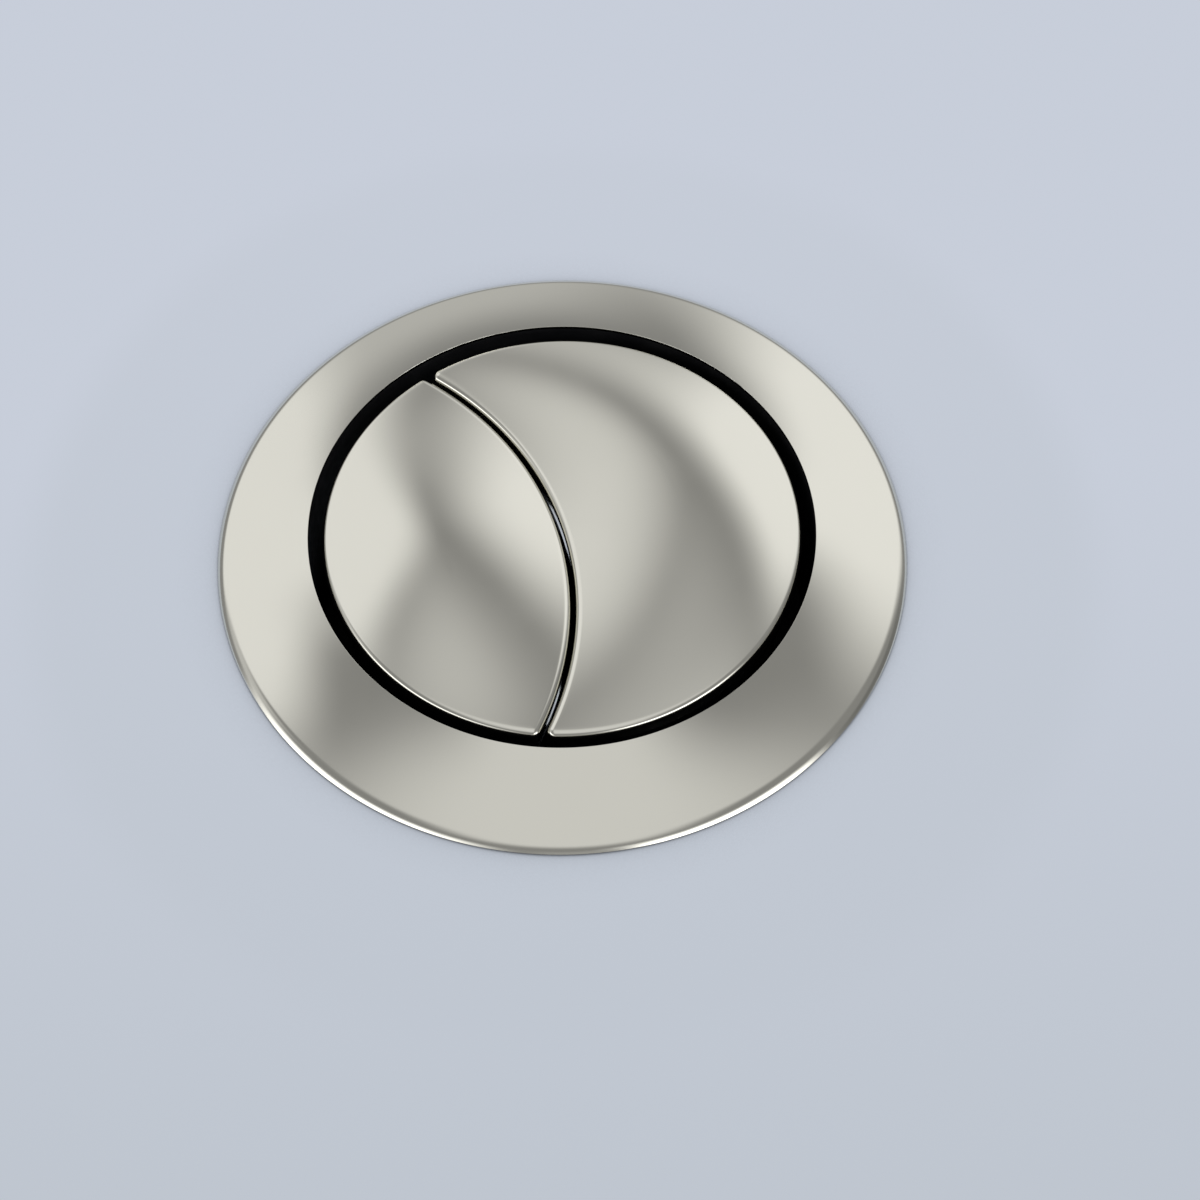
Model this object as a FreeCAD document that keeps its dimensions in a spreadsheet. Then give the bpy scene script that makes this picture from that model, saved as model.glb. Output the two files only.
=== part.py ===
"""Dual-flush pushbutton for a cistern lid, in millimetres.

Z = 0 is the top face of the lid that the button is fixed in and +Z points up, out of the lid. +X runs along the
buttons' line of symmetry: the half-flush button lies at -X and the full-flush button at +X of a curved slot.
"""

import FreeCAD, Part
import math
import os
import Sketcher

# Driving sizes: lengths in millimetres, turns in degrees, and shares of another size where the name says so
SIZES = {
    # Buttons seen from above
    "button_radius": 25.87,
    "button_gap": 1.5,
    "slot_arc_radius": 37.22,
    "slot_arc_place": 37.46,
    "slot_width": 0.45,
    "plan_corner": 0.9,
    # Button caps
    "rim_height": 3.9,
    "half_crown": 1.8,
    "half_crown_place": 14.0,
    "full_crown": 1.83,
    "full_crown_place": 15.6,
    "crown_fullness": -0.08,
    "cap_wall": 1.2,
    "cap_edge_round": 0.8,
    "skirt_depth": 1.9,
    "travel": 5.0,
    "stop_gap": 0.1,
    # Bezel
    "bezel_width": 10.13,
    "opening_height": 4.2,
    "lip_width": 1.13,
    "lip_height": 0.95,
    "lip_round": 2.1,
    "lid_gap": 0.2,
    "flare_radius": 60.0,
    "bezel_wall": 0.8,
    "bezel_edge": 0.3,
    "bezel_taper": 0.95,
    "rim_wall": 2.6,
    "tab_count": 6,
    "tab_width": 6.0,
    "tab_thickness": 0.25,
    "tab_overlap": 0.5,
    # Housing
    "bore_step": 0.05,
    "shank_wall": 1.98,
    "seat_width": 3.6,
    "bezel_clearance": 0.15,
    "shank_spare": 7.0,
    "lead_chamfer": 1.0,
    "ledge_depth": 18.0,
    "ledge_thickness": 2.0,
    "ledge_width": 3.3,
    "boss_count": 3,
    "boss_radius": 3.2,
    "boss_sink": 0.3,
    "boss_height": 5.0,
    "boss_turn": 30.0,
    # Gasket, washer and fixing nut
    "lid_thickness": 12.0,
    "gasket_thickness": 0.5,
    "gasket_inner_gap": 0.3,
    "gasket_outer_gap": 0.9,
    "washer_thickness": 2.0,
    "washer_gap": 0.3,
    "thread_clearance": 0.1,
    "nut_height": 9.0,
    "nut_wall": 3.8,
    "nut_flange_width": 6.6,
    "nut_flange_height": 2.5,
    "nut_chamfer": 0.8,
    "lug_count": 8,
    "lug_width": 5.0,
    # Guide plate
    "plate_thickness": 2.4,
    "plate_gap": 0.15,
    "sleeve_wall": 2.22,
    "sleeve_gap": 0.08,
    "sleeve_tail": 3.6,
    "hub_stop_gap": 0.3,
    "web_thickness": 1.6,
    "web_depth": 3.0,
    "drain_radius": 4.5,
    "drain_place": 6.0,
    "drain_spread": 14.0,
    # Carriers
    "half_stem_place": 13.0,
    "full_stem_place": 12.5,
    "carrier_inset": 0.35,
    "carrier_thickness": 2.2,
    "hub_radius": 6.0,
    "hub_length": 5.0,
    "stem_radius": 4.5,
    "stem_tail": 6.9,
    "groove_depth": 1.1,
    "key_width": 1.6,
    "key_height": 1.0,
    "key_gap": 0.3,
    # Screws
    "half_screw_place": 12.8,
    "half_screw_spread": 13.5,
    "full_screw_place": 9.5,
    "full_screw_spread": 15.5,
    "screw_radius": 1.25,
    "screw_head_radius": 2.4,
    "screw_head_height": 1.5,
    "screw_hole_gap": 0.15,
    "screw_hole_spare": 0.1,
    "screw_grip": 1.9,
    "screw_boss_wall": 1.3,
    "plate_screw_radius": 1.5,
    "plate_screw_head_radius": 2.6,
    "plate_screw_head_height": 1.8,
    "plate_screw_grip": 5.5,
    "head_flat_share": 0.7,
    "head_side_share": 0.45,
    "tip_length_share": 0.6,
    "tip_radius_share": 0.5,
    # Clips, springs and rods
    "clip_thickness": 1.0,
    "clip_radius": 7.0,
    "clip_grip_gap": 0.05,
    "clip_mouth": 5.6,
    "spring_radius": 7.9,
    "spring_wire_radius": 0.45,
    "spring_turns": 6,
    "spring_end_gap": 0.1,
    "rod_radius": 2.5,
    "rod_bore_gap": 0.05,
    "rod_length": 44.5,
    "rod_engagement": 6.5,
    "socket_spare": 2.0,
    "rod_chamfer": 0.5,
    "jam_nut_height": 4.0,
    "jam_nut_flats": 9.0,
    "foot_top_radius": 3.8,
    "foot_radius": 5.5,
    "foot_height": 6.0,
    "foot_sole": 2.5,
    "foot_round": 0.6,
}

# Lengths that follow from the driving sizes, as expressions
OPENING = "(Sizes.button_radius + Sizes.button_gap)"
FLANGE = f"({OPENING} + Sizes.bezel_width)"
LIP = f"({FLANGE} - Sizes.lip_width)"
RIM_INSIDE = f"({FLANGE} - Sizes.rim_wall)"
BORE = f"({OPENING} + Sizes.bore_step)"
SHANK = f"({BORE} + Sizes.shank_wall)"
SEAT = f"({SHANK} + Sizes.seat_width)"
SEAT_HEIGHT = "(Sizes.rim_height - Sizes.skirt_depth)"
CARRIER_BOTTOM = f"({SEAT_HEIGHT} - Sizes.carrier_thickness)"
HUB_BOTTOM = f"({CARRIER_BOTTOM} - Sizes.hub_length)"
SLEEVE_TOP = f"({HUB_BOTTOM} - Sizes.travel - Sizes.hub_stop_gap)"
PLATE_TOP = "(-Sizes.ledge_depth)"
PLATE_BOTTOM = f"({PLATE_TOP} - Sizes.plate_thickness)"
SLEEVE_BOTTOM = f"({PLATE_BOTTOM} - Sizes.sleeve_tail)"
SLEEVE_BORE = "(Sizes.stem_radius + Sizes.sleeve_gap)"
SLEEVE_RADIUS = f"({SLEEVE_BORE} + Sizes.sleeve_wall)"
CLIP_TOP = f"({SLEEVE_BOTTOM} - Sizes.stop_gap)"
CLIP_BOTTOM = f"({CLIP_TOP} - Sizes.clip_thickness)"
GROOVE_RADIUS = "(Sizes.stem_radius - Sizes.groove_depth)"
STEM_END = f"({CLIP_BOTTOM} - Sizes.stem_tail)"
ROD_BORE = "(Sizes.rod_radius + Sizes.rod_bore_gap)"
ROD_TOP = f"({STEM_END} + Sizes.rod_engagement)"
ROD_END = f"({ROD_TOP} - Sizes.rod_length)"
FOOT_BOTTOM = f"({ROD_END} - Sizes.rod_bore_gap - Sizes.foot_sole)"
WASHER_TOP = "(-Sizes.lid_thickness)"
NUT_TOP = f"({WASHER_TOP} - Sizes.washer_thickness)"
NUT_BOTTOM = f"({NUT_TOP} - Sizes.nut_height)"
SHANK_END = f"({NUT_BOTTOM} - Sizes.shank_spare)"
BOSS_CIRCLE = f"({BORE} - Sizes.boss_radius + Sizes.boss_sink)"
SCREW_HOLE = "(Sizes.screw_radius + Sizes.screw_hole_gap)"
PLATE_SCREW_HOLE = "(Sizes.plate_screw_radius + Sizes.screw_hole_gap)"

# Points each way that a cap's pillowed face is fitted through
CROWN_POINTS = 17
# How far a cutting solid runs past what it cuts, and the smallest length that edges are told apart by
OVERRUN = 1.0
TOLERANCE = 0.01

doc = FreeCAD.newDocument("pushbutton_assembly")
sheet = doc.addObject("Spreadsheet::Sheet", "Sizes")
for row, (alias, number) in enumerate(SIZES.items(), start=1):
    sheet.set(f"A{row}", alias)
    sheet.set(f"B{row}", str(number))
    sheet.setAlias(f"B{row}", alias)
doc.recompute()

nodes = []


def size(expression):
    """The number that an expression of the sheet's sizes stands for."""
    return float(sheet.evalExpression(expression))


def point(x, y, z=0.0):
    return FreeCAD.Vector(x, y, z)


def towards(side, length):
    """Expression for a place along X that lies a length out towards one button."""
    return f"-{length}" if side == "half" else length


# Helpers for bodies and sketches


def new_body(name):
    body = doc.addObject("PartDesign::Body", name)
    body.Label = name
    body.AllowCompound = True
    nodes.append(body)
    return body


def new_sketch(body, name, role, height=None):
    """A sketch on one of the body's own origin planes, raised along the plane's normal by an expression."""
    drawing = body.newObject("Sketcher::SketchObject", name)
    plane = next(f for f in body.Origin.OriginFeatures if f.Role == role)
    drawing.AttachmentSupport = [(plane, "")]
    drawing.MapMode = "FlatFace"
    if height:
        drawing.setExpression("AttachmentOffset.Base.z", height)
    return drawing


def tie(drawing, index, spot, x, y):
    """Ties one point of a sketch to a place given by two expressions."""
    for kind, expression in (("DistanceX", x), ("DistanceY", y)):
        rule = Sketcher.Constraint(kind, -1, 1, index, spot, size(expression))
        number = drawing.addConstraint(rule)
        drawing.setExpression(f"Constraints[{number}]", expression)


def draw_outline(drawing, corners, arcs=None):
    """A closed outline through corners given as pairs of expressions.

    arcs maps the number of a side to its radius and to 1 where the arc's centre lies left of the way round,
    or -1 where it lies right of it.
    """
    arcs = arcs or {}
    spots = [point(size(x), size(y)) for x, y in corners]
    ends = []
    for n, start in enumerate(spots):
        finish = spots[(n + 1) % len(spots)]
        if n not in arcs:
            index = drawing.addGeometry(Part.LineSegment(start, finish))
            ends.append((index, 1, 2))
            continue
        radius, side = arcs[n]
        way = finish - start
        normal = point(-way.y, way.x) * (side / way.Length)
        rise = math.sqrt(size(radius) ** 2 - way.Length**2 / 4)
        centre = (start + finish) * 0.5 + normal * rise
        first, last = (start, finish) if side > 0 else (finish, start)
        angles = [math.atan2(p.y - centre.y, p.x - centre.x) for p in (first, last)]
        circle = Part.Circle(centre, point(0, 0, 1), size(radius))
        index = drawing.addGeometry(Part.ArcOfCircle(circle, *angles))
        ends.append((index, 1, 2) if side > 0 else (index, 2, 1))
        number = drawing.addConstraint(Sketcher.Constraint("Radius", index, size(radius)))
        drawing.setExpression(f"Constraints[{number}]", radius)
    for n, (index, start_spot, end_spot) in enumerate(ends):
        following, following_spot, _ = ends[(n + 1) % len(ends)]
        drawing.addConstraint(Sketcher.Constraint("Coincident", index, end_spot, following, following_spot))
        tie(drawing, index, start_spot, *corners[n])


def draw_rectangle(drawing, left, right, bottom, top):
    draw_outline(drawing, [(left, bottom), (right, bottom), (right, top), (left, top)])


def draw_circle(drawing, x, y, radius):
    circle = Part.Circle(point(size(x), size(y)), point(0, 0, 1), size(radius))
    index = drawing.addGeometry(circle)
    tie(drawing, index, 3, x, y)
    number = drawing.addConstraint(Sketcher.Constraint("Radius", index, size(radius)))
    drawing.setExpression(f"Constraints[{number}]", radius)


def extrude(kind, body, drawing, name, length, downwards=False):
    """A Pad or a Pocket of a sketch, along or against its plane's normal."""
    feature = body.newObject(f"PartDesign::{kind}", name)
    feature.Profile = drawing
    feature.Reversed = downwards
    feature.setExpression("Length", length)
    return feature


def pad(body, drawing, name, length):
    return extrude("Pad", body, drawing, name, length)


def pocket(body, drawing, name, length):
    """A Pocket cut upwards from its sketch."""
    return extrude("Pocket", body, drawing, name, length, downwards=True)


def revolve(body, drawing, name):
    feature = body.newObject("PartDesign::Revolution", name)
    feature.Profile = drawing
    feature.ReferenceAxis = (drawing, ["V_Axis"])
    feature.Angle = 360
    return feature


def polar_pattern(body, originals, drawing, name, count):
    """Copies of features round the normal of a sketch on the XY plane."""
    feature = body.newObject("PartDesign::PolarPattern", name)
    feature.Originals = originals
    feature.Axis = (drawing, ["N_Axis"])
    feature.Angle = 360
    feature.setExpression("Occurrences", count)
    body.Tip = feature
    return feature


def edge_names(shape, wanted):
    return [f"Edge{n}" for n, edge in enumerate(shape.Edges, start=1) if wanted(edge)]


def upright(edge):
    """Whether an edge runs straight up."""
    start, finish = edge.firstVertex().Point, edge.lastVertex().Point
    level = math.hypot(start.x - finish.x, start.y - finish.y)
    return level < TOLERANCE and abs(start.z - finish.z) > TOLERANCE


def fillet(body, base, name, wanted, radius):
    """A Fillet on the edges of the base feature that pass a test."""
    doc.recompute()
    feature = body.newObject("PartDesign::Fillet", name)
    feature.Base = (base, edge_names(base.Shape, wanted))
    feature.setExpression("Radius", radius)
    return feature


def flare_height(radius, below="0"):
    """Expression for the height of the bezel's flared face, or of a face parallel to it, at a radius."""
    drop = "(Sizes.opening_height - Sizes.lip_height)"
    width = f"({LIP} - {OPENING})"
    chord = f"sqrt({width} ^ 2 + {drop} ^ 2)"
    rise = f"sqrt(Sizes.flare_radius ^ 2 - {chord} ^ 2 / 4)"
    centre_radius = f"(({OPENING} + {LIP}) / 2 + {drop} * {rise} / {chord})"
    centre_height = f"((Sizes.opening_height + Sizes.lip_height) / 2 + {width} * {rise} / {chord})"
    reach = f"sqrt((Sizes.flare_radius + {below}) ^ 2 - ({radius} - {centre_radius}) ^ 2)"
    return f"({centre_height} - {reach})"


# Bezel: one pressed and plated ring, crimped round the housing's flange with small tabs


def make_bezel():
    body = new_body("bezel")
    section = new_sketch(body, "bezel_section", "XZ_Plane")
    inner = f"({OPENING} + Sizes.bezel_taper)"
    corners = [
        (RIM_INSIDE, "Sizes.lid_gap"),
        (FLANGE, "Sizes.lid_gap"),
        (LIP, "Sizes.lip_height"),
        (OPENING, "Sizes.opening_height"),
        (OPENING, "Sizes.opening_height - Sizes.bezel_edge"),
        (inner, flare_height(inner, "Sizes.bezel_wall")),
        (RIM_INSIDE, flare_height(RIM_INSIDE, "Sizes.bezel_wall")),
    ]
    arcs = {
        1: ("Sizes.lip_round", 1),
        2: ("Sizes.flare_radius", -1),
        5: ("Sizes.flare_radius + Sizes.bezel_wall", 1),
    }
    draw_outline(section, corners, arcs)
    revolve(body, section, "bezel_ring")
    tab_drawing = new_sketch(body, "bezel_tab_outline", "XY_Plane", "Sizes.lid_gap")
    half_tab = "Sizes.tab_width / 2"
    draw_rectangle(
        tab_drawing,
        f"{SEAT} - Sizes.tab_overlap",
        f"{RIM_INSIDE} + Sizes.rim_wall / 2",
        f"-{half_tab}",
        half_tab,
    )
    tab = pad(body, tab_drawing, "bezel_tab", "Sizes.tab_thickness")
    polar_pattern(body, [tab], tab_drawing, "bezel_tabs", "Sizes.tab_count")


# Housing: flange, threaded shank and a ledge with screw bosses for the guide plate


def make_housing():
    body = new_body("housing")
    section = new_sketch(body, "housing_section", "XZ_Plane")
    inner = f"({OPENING} + Sizes.bezel_taper)"
    ledge = f"{BORE} - Sizes.ledge_width"
    ledge_top = f"{PLATE_TOP} + Sizes.ledge_thickness"
    corners = [
        (BORE, SHANK_END),
        (f"{SHANK} - Sizes.lead_chamfer", SHANK_END),
        (SHANK, f"{SHANK_END} + Sizes.lead_chamfer"),
        (SHANK, "Sizes.gasket_thickness"),
        (SEAT, "Sizes.gasket_thickness"),
        (SEAT, f"{flare_height(SEAT, 'Sizes.bezel_wall')} - Sizes.bezel_clearance"),
        (inner, f"{flare_height(inner, 'Sizes.bezel_wall')} - Sizes.bezel_clearance"),
        (BORE, "Sizes.opening_height - Sizes.bezel_edge - Sizes.bezel_clearance"),
        (BORE, ledge_top),
        (ledge, ledge_top),
        (ledge, PLATE_TOP),
        (BORE, PLATE_TOP),
    ]
    draw_outline(section, corners)
    revolve(body, section, "housing_shell")
    boss_drawing = new_sketch(body, "boss_outline", "XY_Plane", PLATE_TOP)
    x = f"{BOSS_CIRCLE} * cos(Sizes.boss_turn * 1 deg)"
    y = f"{BOSS_CIRCLE} * sin(Sizes.boss_turn * 1 deg)"
    draw_circle(boss_drawing, x, y, "Sizes.boss_radius")
    boss = pad(body, boss_drawing, "boss", "Sizes.boss_height")
    polar_pattern(body, [boss], boss_drawing, "bosses", "Sizes.boss_count")
    hole_drawing = new_sketch(body, "boss_hole_outline", "XY_Plane", PLATE_TOP)
    draw_circle(hole_drawing, x, y, "Sizes.plate_screw_radius")
    hole = pocket(body, hole_drawing, "boss_hole", "Sizes.boss_height - Sizes.plate_screw_radius / 2")
    polar_pattern(body, [hole], hole_drawing, "boss_holes", "Sizes.boss_count")


def make_ring(name, inner, outer, bottom, height):
    """A flat ring round the shank."""
    body = new_body(name)
    drawing = new_sketch(body, f"{name}_outline", "XY_Plane", bottom)
    draw_circle(drawing, "0", "0", outer)
    draw_circle(drawing, "0", "0", inner)
    pad(body, drawing, f"{name}_ring", height)


# Fixing nut: a flanged ring with grip lugs, screwed up under the lid


def make_fixing_nut():
    body = new_body("fixing_nut")
    section = new_sketch(body, "nut_section", "XZ_Plane")
    bore = f"({SHANK} + Sizes.thread_clearance)"
    wall = f"{SHANK} + Sizes.nut_wall"
    flange = f"{SHANK} + Sizes.nut_flange_width"
    flange_bottom = f"{NUT_TOP} - Sizes.nut_flange_height"
    corners = [
        (bore, f"{NUT_BOTTOM} + Sizes.nut_chamfer"),
        (f"{bore} + Sizes.nut_chamfer", NUT_BOTTOM),
        (wall, NUT_BOTTOM),
        (wall, flange_bottom),
        (flange, flange_bottom),
        (flange, NUT_TOP),
        (f"{bore} + Sizes.nut_chamfer", NUT_TOP),
        (bore, f"{NUT_TOP} - Sizes.nut_chamfer"),
    ]
    draw_outline(section, corners)
    revolve(body, section, "nut_ring")
    lug_drawing = new_sketch(body, "lug_outline", "XY_Plane", NUT_BOTTOM)
    half_lug = "Sizes.lug_width / 2"
    draw_rectangle(lug_drawing, f"{wall} - Sizes.nut_wall / 2", flange, f"-{half_lug}", half_lug)
    lug = pad(body, lug_drawing, "lug", "Sizes.nut_height - Sizes.nut_flange_height / 2")
    polar_pattern(body, [lug], lug_drawing, "lugs", "Sizes.lug_count")


# Guide plate: the stems' two sleeves on one drained plate, screwed up under the housing's ledge


def make_guide_plate():
    body = new_body("guide_plate")
    stems = [towards(side, f"Sizes.{side}_stem_place") for side in ("half", "full")]
    plate_drawing = new_sketch(body, "plate_outline", "XY_Plane", PLATE_BOTTOM)
    draw_circle(plate_drawing, "0", "0", f"{BORE} - Sizes.plate_gap")
    pad(body, plate_drawing, "plate", "Sizes.plate_thickness")
    web_height = "Sizes.web_depth + Sizes.plate_thickness / 2"
    web_bottom = f"{PLATE_BOTTOM} - Sizes.web_depth"
    half_web = "Sizes.web_thickness / 2"
    reach = f"({BORE} - Sizes.ledge_width)"
    long_web = new_sketch(body, "long_web_outline", "XY_Plane", web_bottom)
    draw_rectangle(long_web, f"-{reach}", reach, f"-{half_web}", half_web)
    pad(body, long_web, "long_web", web_height)
    for side, place in zip(("half", "full"), stems):
        cross_web = new_sketch(body, f"{side}_web_outline", "XY_Plane", web_bottom)
        span = f"sqrt({reach} ^ 2 - ({place}) ^ 2)"
        draw_rectangle(cross_web, f"{place} - {half_web}", f"{place} + {half_web}", f"-{span}", span)
        pad(body, cross_web, f"{side}_web", web_height)
    sleeve_length = f"{SLEEVE_TOP} - {SLEEVE_BOTTOM}"
    sleeve_drawing = new_sketch(body, "sleeve_outline", "XY_Plane", SLEEVE_BOTTOM)
    for place in stems:
        draw_circle(sleeve_drawing, place, "0", SLEEVE_RADIUS)
    pad(body, sleeve_drawing, "sleeves", sleeve_length)
    bore_drawing = new_sketch(body, "sleeve_bore_outline", "XY_Plane", SLEEVE_BOTTOM)
    for place in stems:
        draw_circle(bore_drawing, place, "0", SLEEVE_BORE)
    pocket(body, bore_drawing, "sleeve_bores", sleeve_length)
    keyway_drawing = new_sketch(body, "keyway_outline", "XY_Plane", SLEEVE_BOTTOM)
    half_key = "(Sizes.key_width / 2 + Sizes.key_gap)"
    half_stem, full_stem = stems
    key_reach = "(Sizes.stem_radius + Sizes.key_height + Sizes.key_gap)"
    draw_rectangle(keyway_drawing, f"{half_stem} - {key_reach}", half_stem, f"-{half_key}", half_key)
    draw_rectangle(keyway_drawing, full_stem, f"{full_stem} + {key_reach}", f"-{half_key}", half_key)
    pocket(body, keyway_drawing, "keyways", sleeve_length)
    screw_drawing = new_sketch(body, "plate_screw_hole_outline", "XY_Plane", PLATE_BOTTOM)
    x = f"{BOSS_CIRCLE} * cos(Sizes.boss_turn * 1 deg)"
    y = f"{BOSS_CIRCLE} * sin(Sizes.boss_turn * 1 deg)"
    draw_circle(screw_drawing, x, y, PLATE_SCREW_HOLE)
    hole = pocket(body, screw_drawing, "plate_screw_hole", "Sizes.plate_thickness")
    polar_pattern(body, [hole], screw_drawing, "plate_screw_holes", "Sizes.boss_count")
    drain_drawing = new_sketch(body, "drain_outline", "XY_Plane", PLATE_BOTTOM)
    for sign, other in (("", "-"), ("-", "")):
        draw_circle(
            drain_drawing, f"{sign}Sizes.drain_place", f"{other}Sizes.drain_spread", "Sizes.drain_radius"
        )
    pocket(body, drain_drawing, "drains", "Sizes.plate_thickness")


# Screws: pan heads below, shanks pointing up


def draw_screw(body, name, x, y, head_top, radius, head_radius, head_height, grip):
    """A screw whose head hangs below head_top, on an upright axis through x and y."""
    drawing = new_sketch(body, f"{name}_section", "XZ_Plane")
    drawing.setExpression("AttachmentOffset.Base.x", x)
    drawing.setExpression("AttachmentOffset.Base.z", f"-({y})")
    tip = f"{head_top} + {grip}"
    corners = [
        ("0", f"{head_top} - {head_height}"),
        (f"{head_radius} * Sizes.head_flat_share", f"{head_top} - {head_height}"),
        (head_radius, f"{head_top} - {head_height} * Sizes.head_side_share"),
        (head_radius, head_top),
        (radius, head_top),
        (radius, f"{tip} - {radius} * Sizes.tip_length_share"),
        (f"{radius} * Sizes.tip_radius_share", tip),
        ("0", tip),
    ]
    draw_outline(drawing, corners)
    return revolve(body, drawing, name)


def make_guide_plate_screws():
    body = new_body("guide_plate_screws")
    screw = draw_screw(
        body,
        "guide_plate_screw",
        f"{BOSS_CIRCLE} * cos(Sizes.boss_turn * 1 deg)",
        f"{BOSS_CIRCLE} * sin(Sizes.boss_turn * 1 deg)",
        PLATE_BOTTOM,
        "Sizes.plate_screw_radius",
        "Sizes.plate_screw_head_radius",
        "Sizes.plate_screw_head_height",
        "Sizes.plate_screw_grip",
    )
    centre = new_sketch(body, "guide_plate_screw_circle", "XY_Plane")
    polar_pattern(body, [screw], centre, "guide_plate_screw_set", "Sizes.boss_count")


def make_cap_screws(side):
    body = new_body(f"{side}_cap_screws")
    screw = draw_screw(
        body,
        f"{side}_cap_screw",
        towards(side, f"Sizes.{side}_screw_place"),
        f"Sizes.{side}_screw_spread",
        CARRIER_BOTTOM,
        "Sizes.screw_radius",
        "Sizes.screw_head_radius",
        "Sizes.screw_head_height",
        "(Sizes.carrier_thickness + Sizes.screw_grip)",
    )
    pair = body.newObject("PartDesign::Mirrored", f"{side}_cap_screw_pair")
    pair.Originals = [screw]
    plane = next(f for f in body.Origin.OriginFeatures if f.Role == "XZ_Plane")
    pair.MirrorPlane = (plane, [""])
    body.Tip = pair


# Outlines of the two buttons: the disc inside the slot's arc, and the rest of the disc


def slot_side(side, inset="0"):
    """Expression for the radius of a button's edge along the slot."""
    sign = "-" if side == "half" else "+"
    return f"(Sizes.slot_arc_radius {sign} (Sizes.slot_width / 2 + {inset}))"


def draw_button_outline(drawing, side, inset, shift):
    """The outline of one button, drawn inwards by inset, on an axis that lies at shift along X."""
    rim = f"(Sizes.button_radius - {inset})"
    slot = slot_side(side, inset)
    disc_radius, slot_radius, place = size(rim), size(slot), size("Sizes.slot_arc_place")
    meet_x = (slot_radius**2 - disc_radius**2 - place**2) / (2 * place)
    rim_angle = math.acos(meet_x / disc_radius)
    slot_angle = math.acos((meet_x + place) / slot_radius)
    middle = -size(shift)
    disc = Part.Circle(point(middle, 0), point(0, 0, 1), disc_radius)
    arc = Part.Circle(point(middle - place, 0), point(0, 0, 1), slot_radius)
    span = (rim_angle, 2 * math.pi - rim_angle) if side == "half" else (-rim_angle, rim_angle)
    rim_index = drawing.addGeometry(Part.ArcOfCircle(disc, *span))
    slot_index = drawing.addGeometry(Part.ArcOfCircle(arc, -slot_angle, slot_angle))
    same = (2, 1) if side == "half" else (1, 1)
    other = (1, 2) if side == "half" else (2, 2)
    for rim_spot, slot_spot in (same, other):
        drawing.addConstraint(Sketcher.Constraint("Coincident", rim_index, rim_spot, slot_index, slot_spot))
    tie(drawing, rim_index, 3, f"-({shift})", "0")
    tie(drawing, slot_index, 3, f"-({shift}) - Sizes.slot_arc_place", "0")
    for index, radius in ((rim_index, rim), (slot_index, slot)):
        number = drawing.addConstraint(Sketcher.Constraint("Radius", index, size(radius)))
        drawing.setExpression(f"Constraints[{number}]", radius)


# Caps: plated shells with pillowed tops that keep a level rim


def button_prism(side, inset, bottom, top):
    """An upright solid of a button's outline, drawn inwards by inset."""
    disc = Part.makeCylinder(size("Sizes.button_radius") - inset, top - bottom, point(0, 0, bottom))
    radius = size(slot_side(side, str(inset)))
    centre = point(-size("Sizes.slot_arc_place"), 0, bottom)
    arc = Part.makeCylinder(radius, top - bottom, centre)
    solid = disc.common(arc) if side == "half" else disc.cut(arc)
    corner = size("Sizes.plan_corner") - inset
    if corner > 0:
        solid = solid.makeFillet(corner, [edge for edge in solid.Edges if upright(edge)])
    return solid


def crown_solid(side, drop, depth):
    """A block under the pillowed face of a cap, lowered by drop.

    The face's height over the rim is a product that is zero on the rim's circle and on the slot's arc, so the
    rim stays level all round, and crown_fullness makes the pillow fuller towards its edges.
    """
    crown, fullness = size(f"Sizes.{side}_crown"), size("Sizes.crown_fullness")
    disc_radius, place = size("Sizes.button_radius"), size("Sizes.slot_arc_place")
    slot_radius = size(slot_side(side))
    sign = -1 if side == "half" else 1

    def product(x, y):
        rim = disc_radius**2 - x**2 - y**2
        slot = ((x + place) ** 2 + y**2 - slot_radius**2) * sign
        return rim * slot

    peak = product(sign * size(f"Sizes.{side}_crown_place"), 0)
    reach = disc_radius + OVERRUN
    if side == "half":
        left, right = -reach, slot_radius - place + OVERRUN
    else:
        horn = (slot_radius**2 - disc_radius**2 - place**2) / (2 * place)
        left, right = horn - OVERRUN, reach
    rows = []
    for i in range(CROWN_POINTS):
        x = left + (right - left) * i / (CROWN_POINTS - 1)
        row = []
        for j in range(CROWN_POINTS):
            y = -reach + 2 * reach * j / (CROWN_POINTS - 1)
            share = product(x, y) / peak
            height = crown * share * (1 + fullness * (1 - share))
            row.append(point(x, y, size("Sizes.rim_height") + height - drop))
        rows.append(row)
    face = Part.BSplineSurface()
    face.interpolate(rows)
    return face.toShape().extrude(point(0, 0, -depth))


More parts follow.
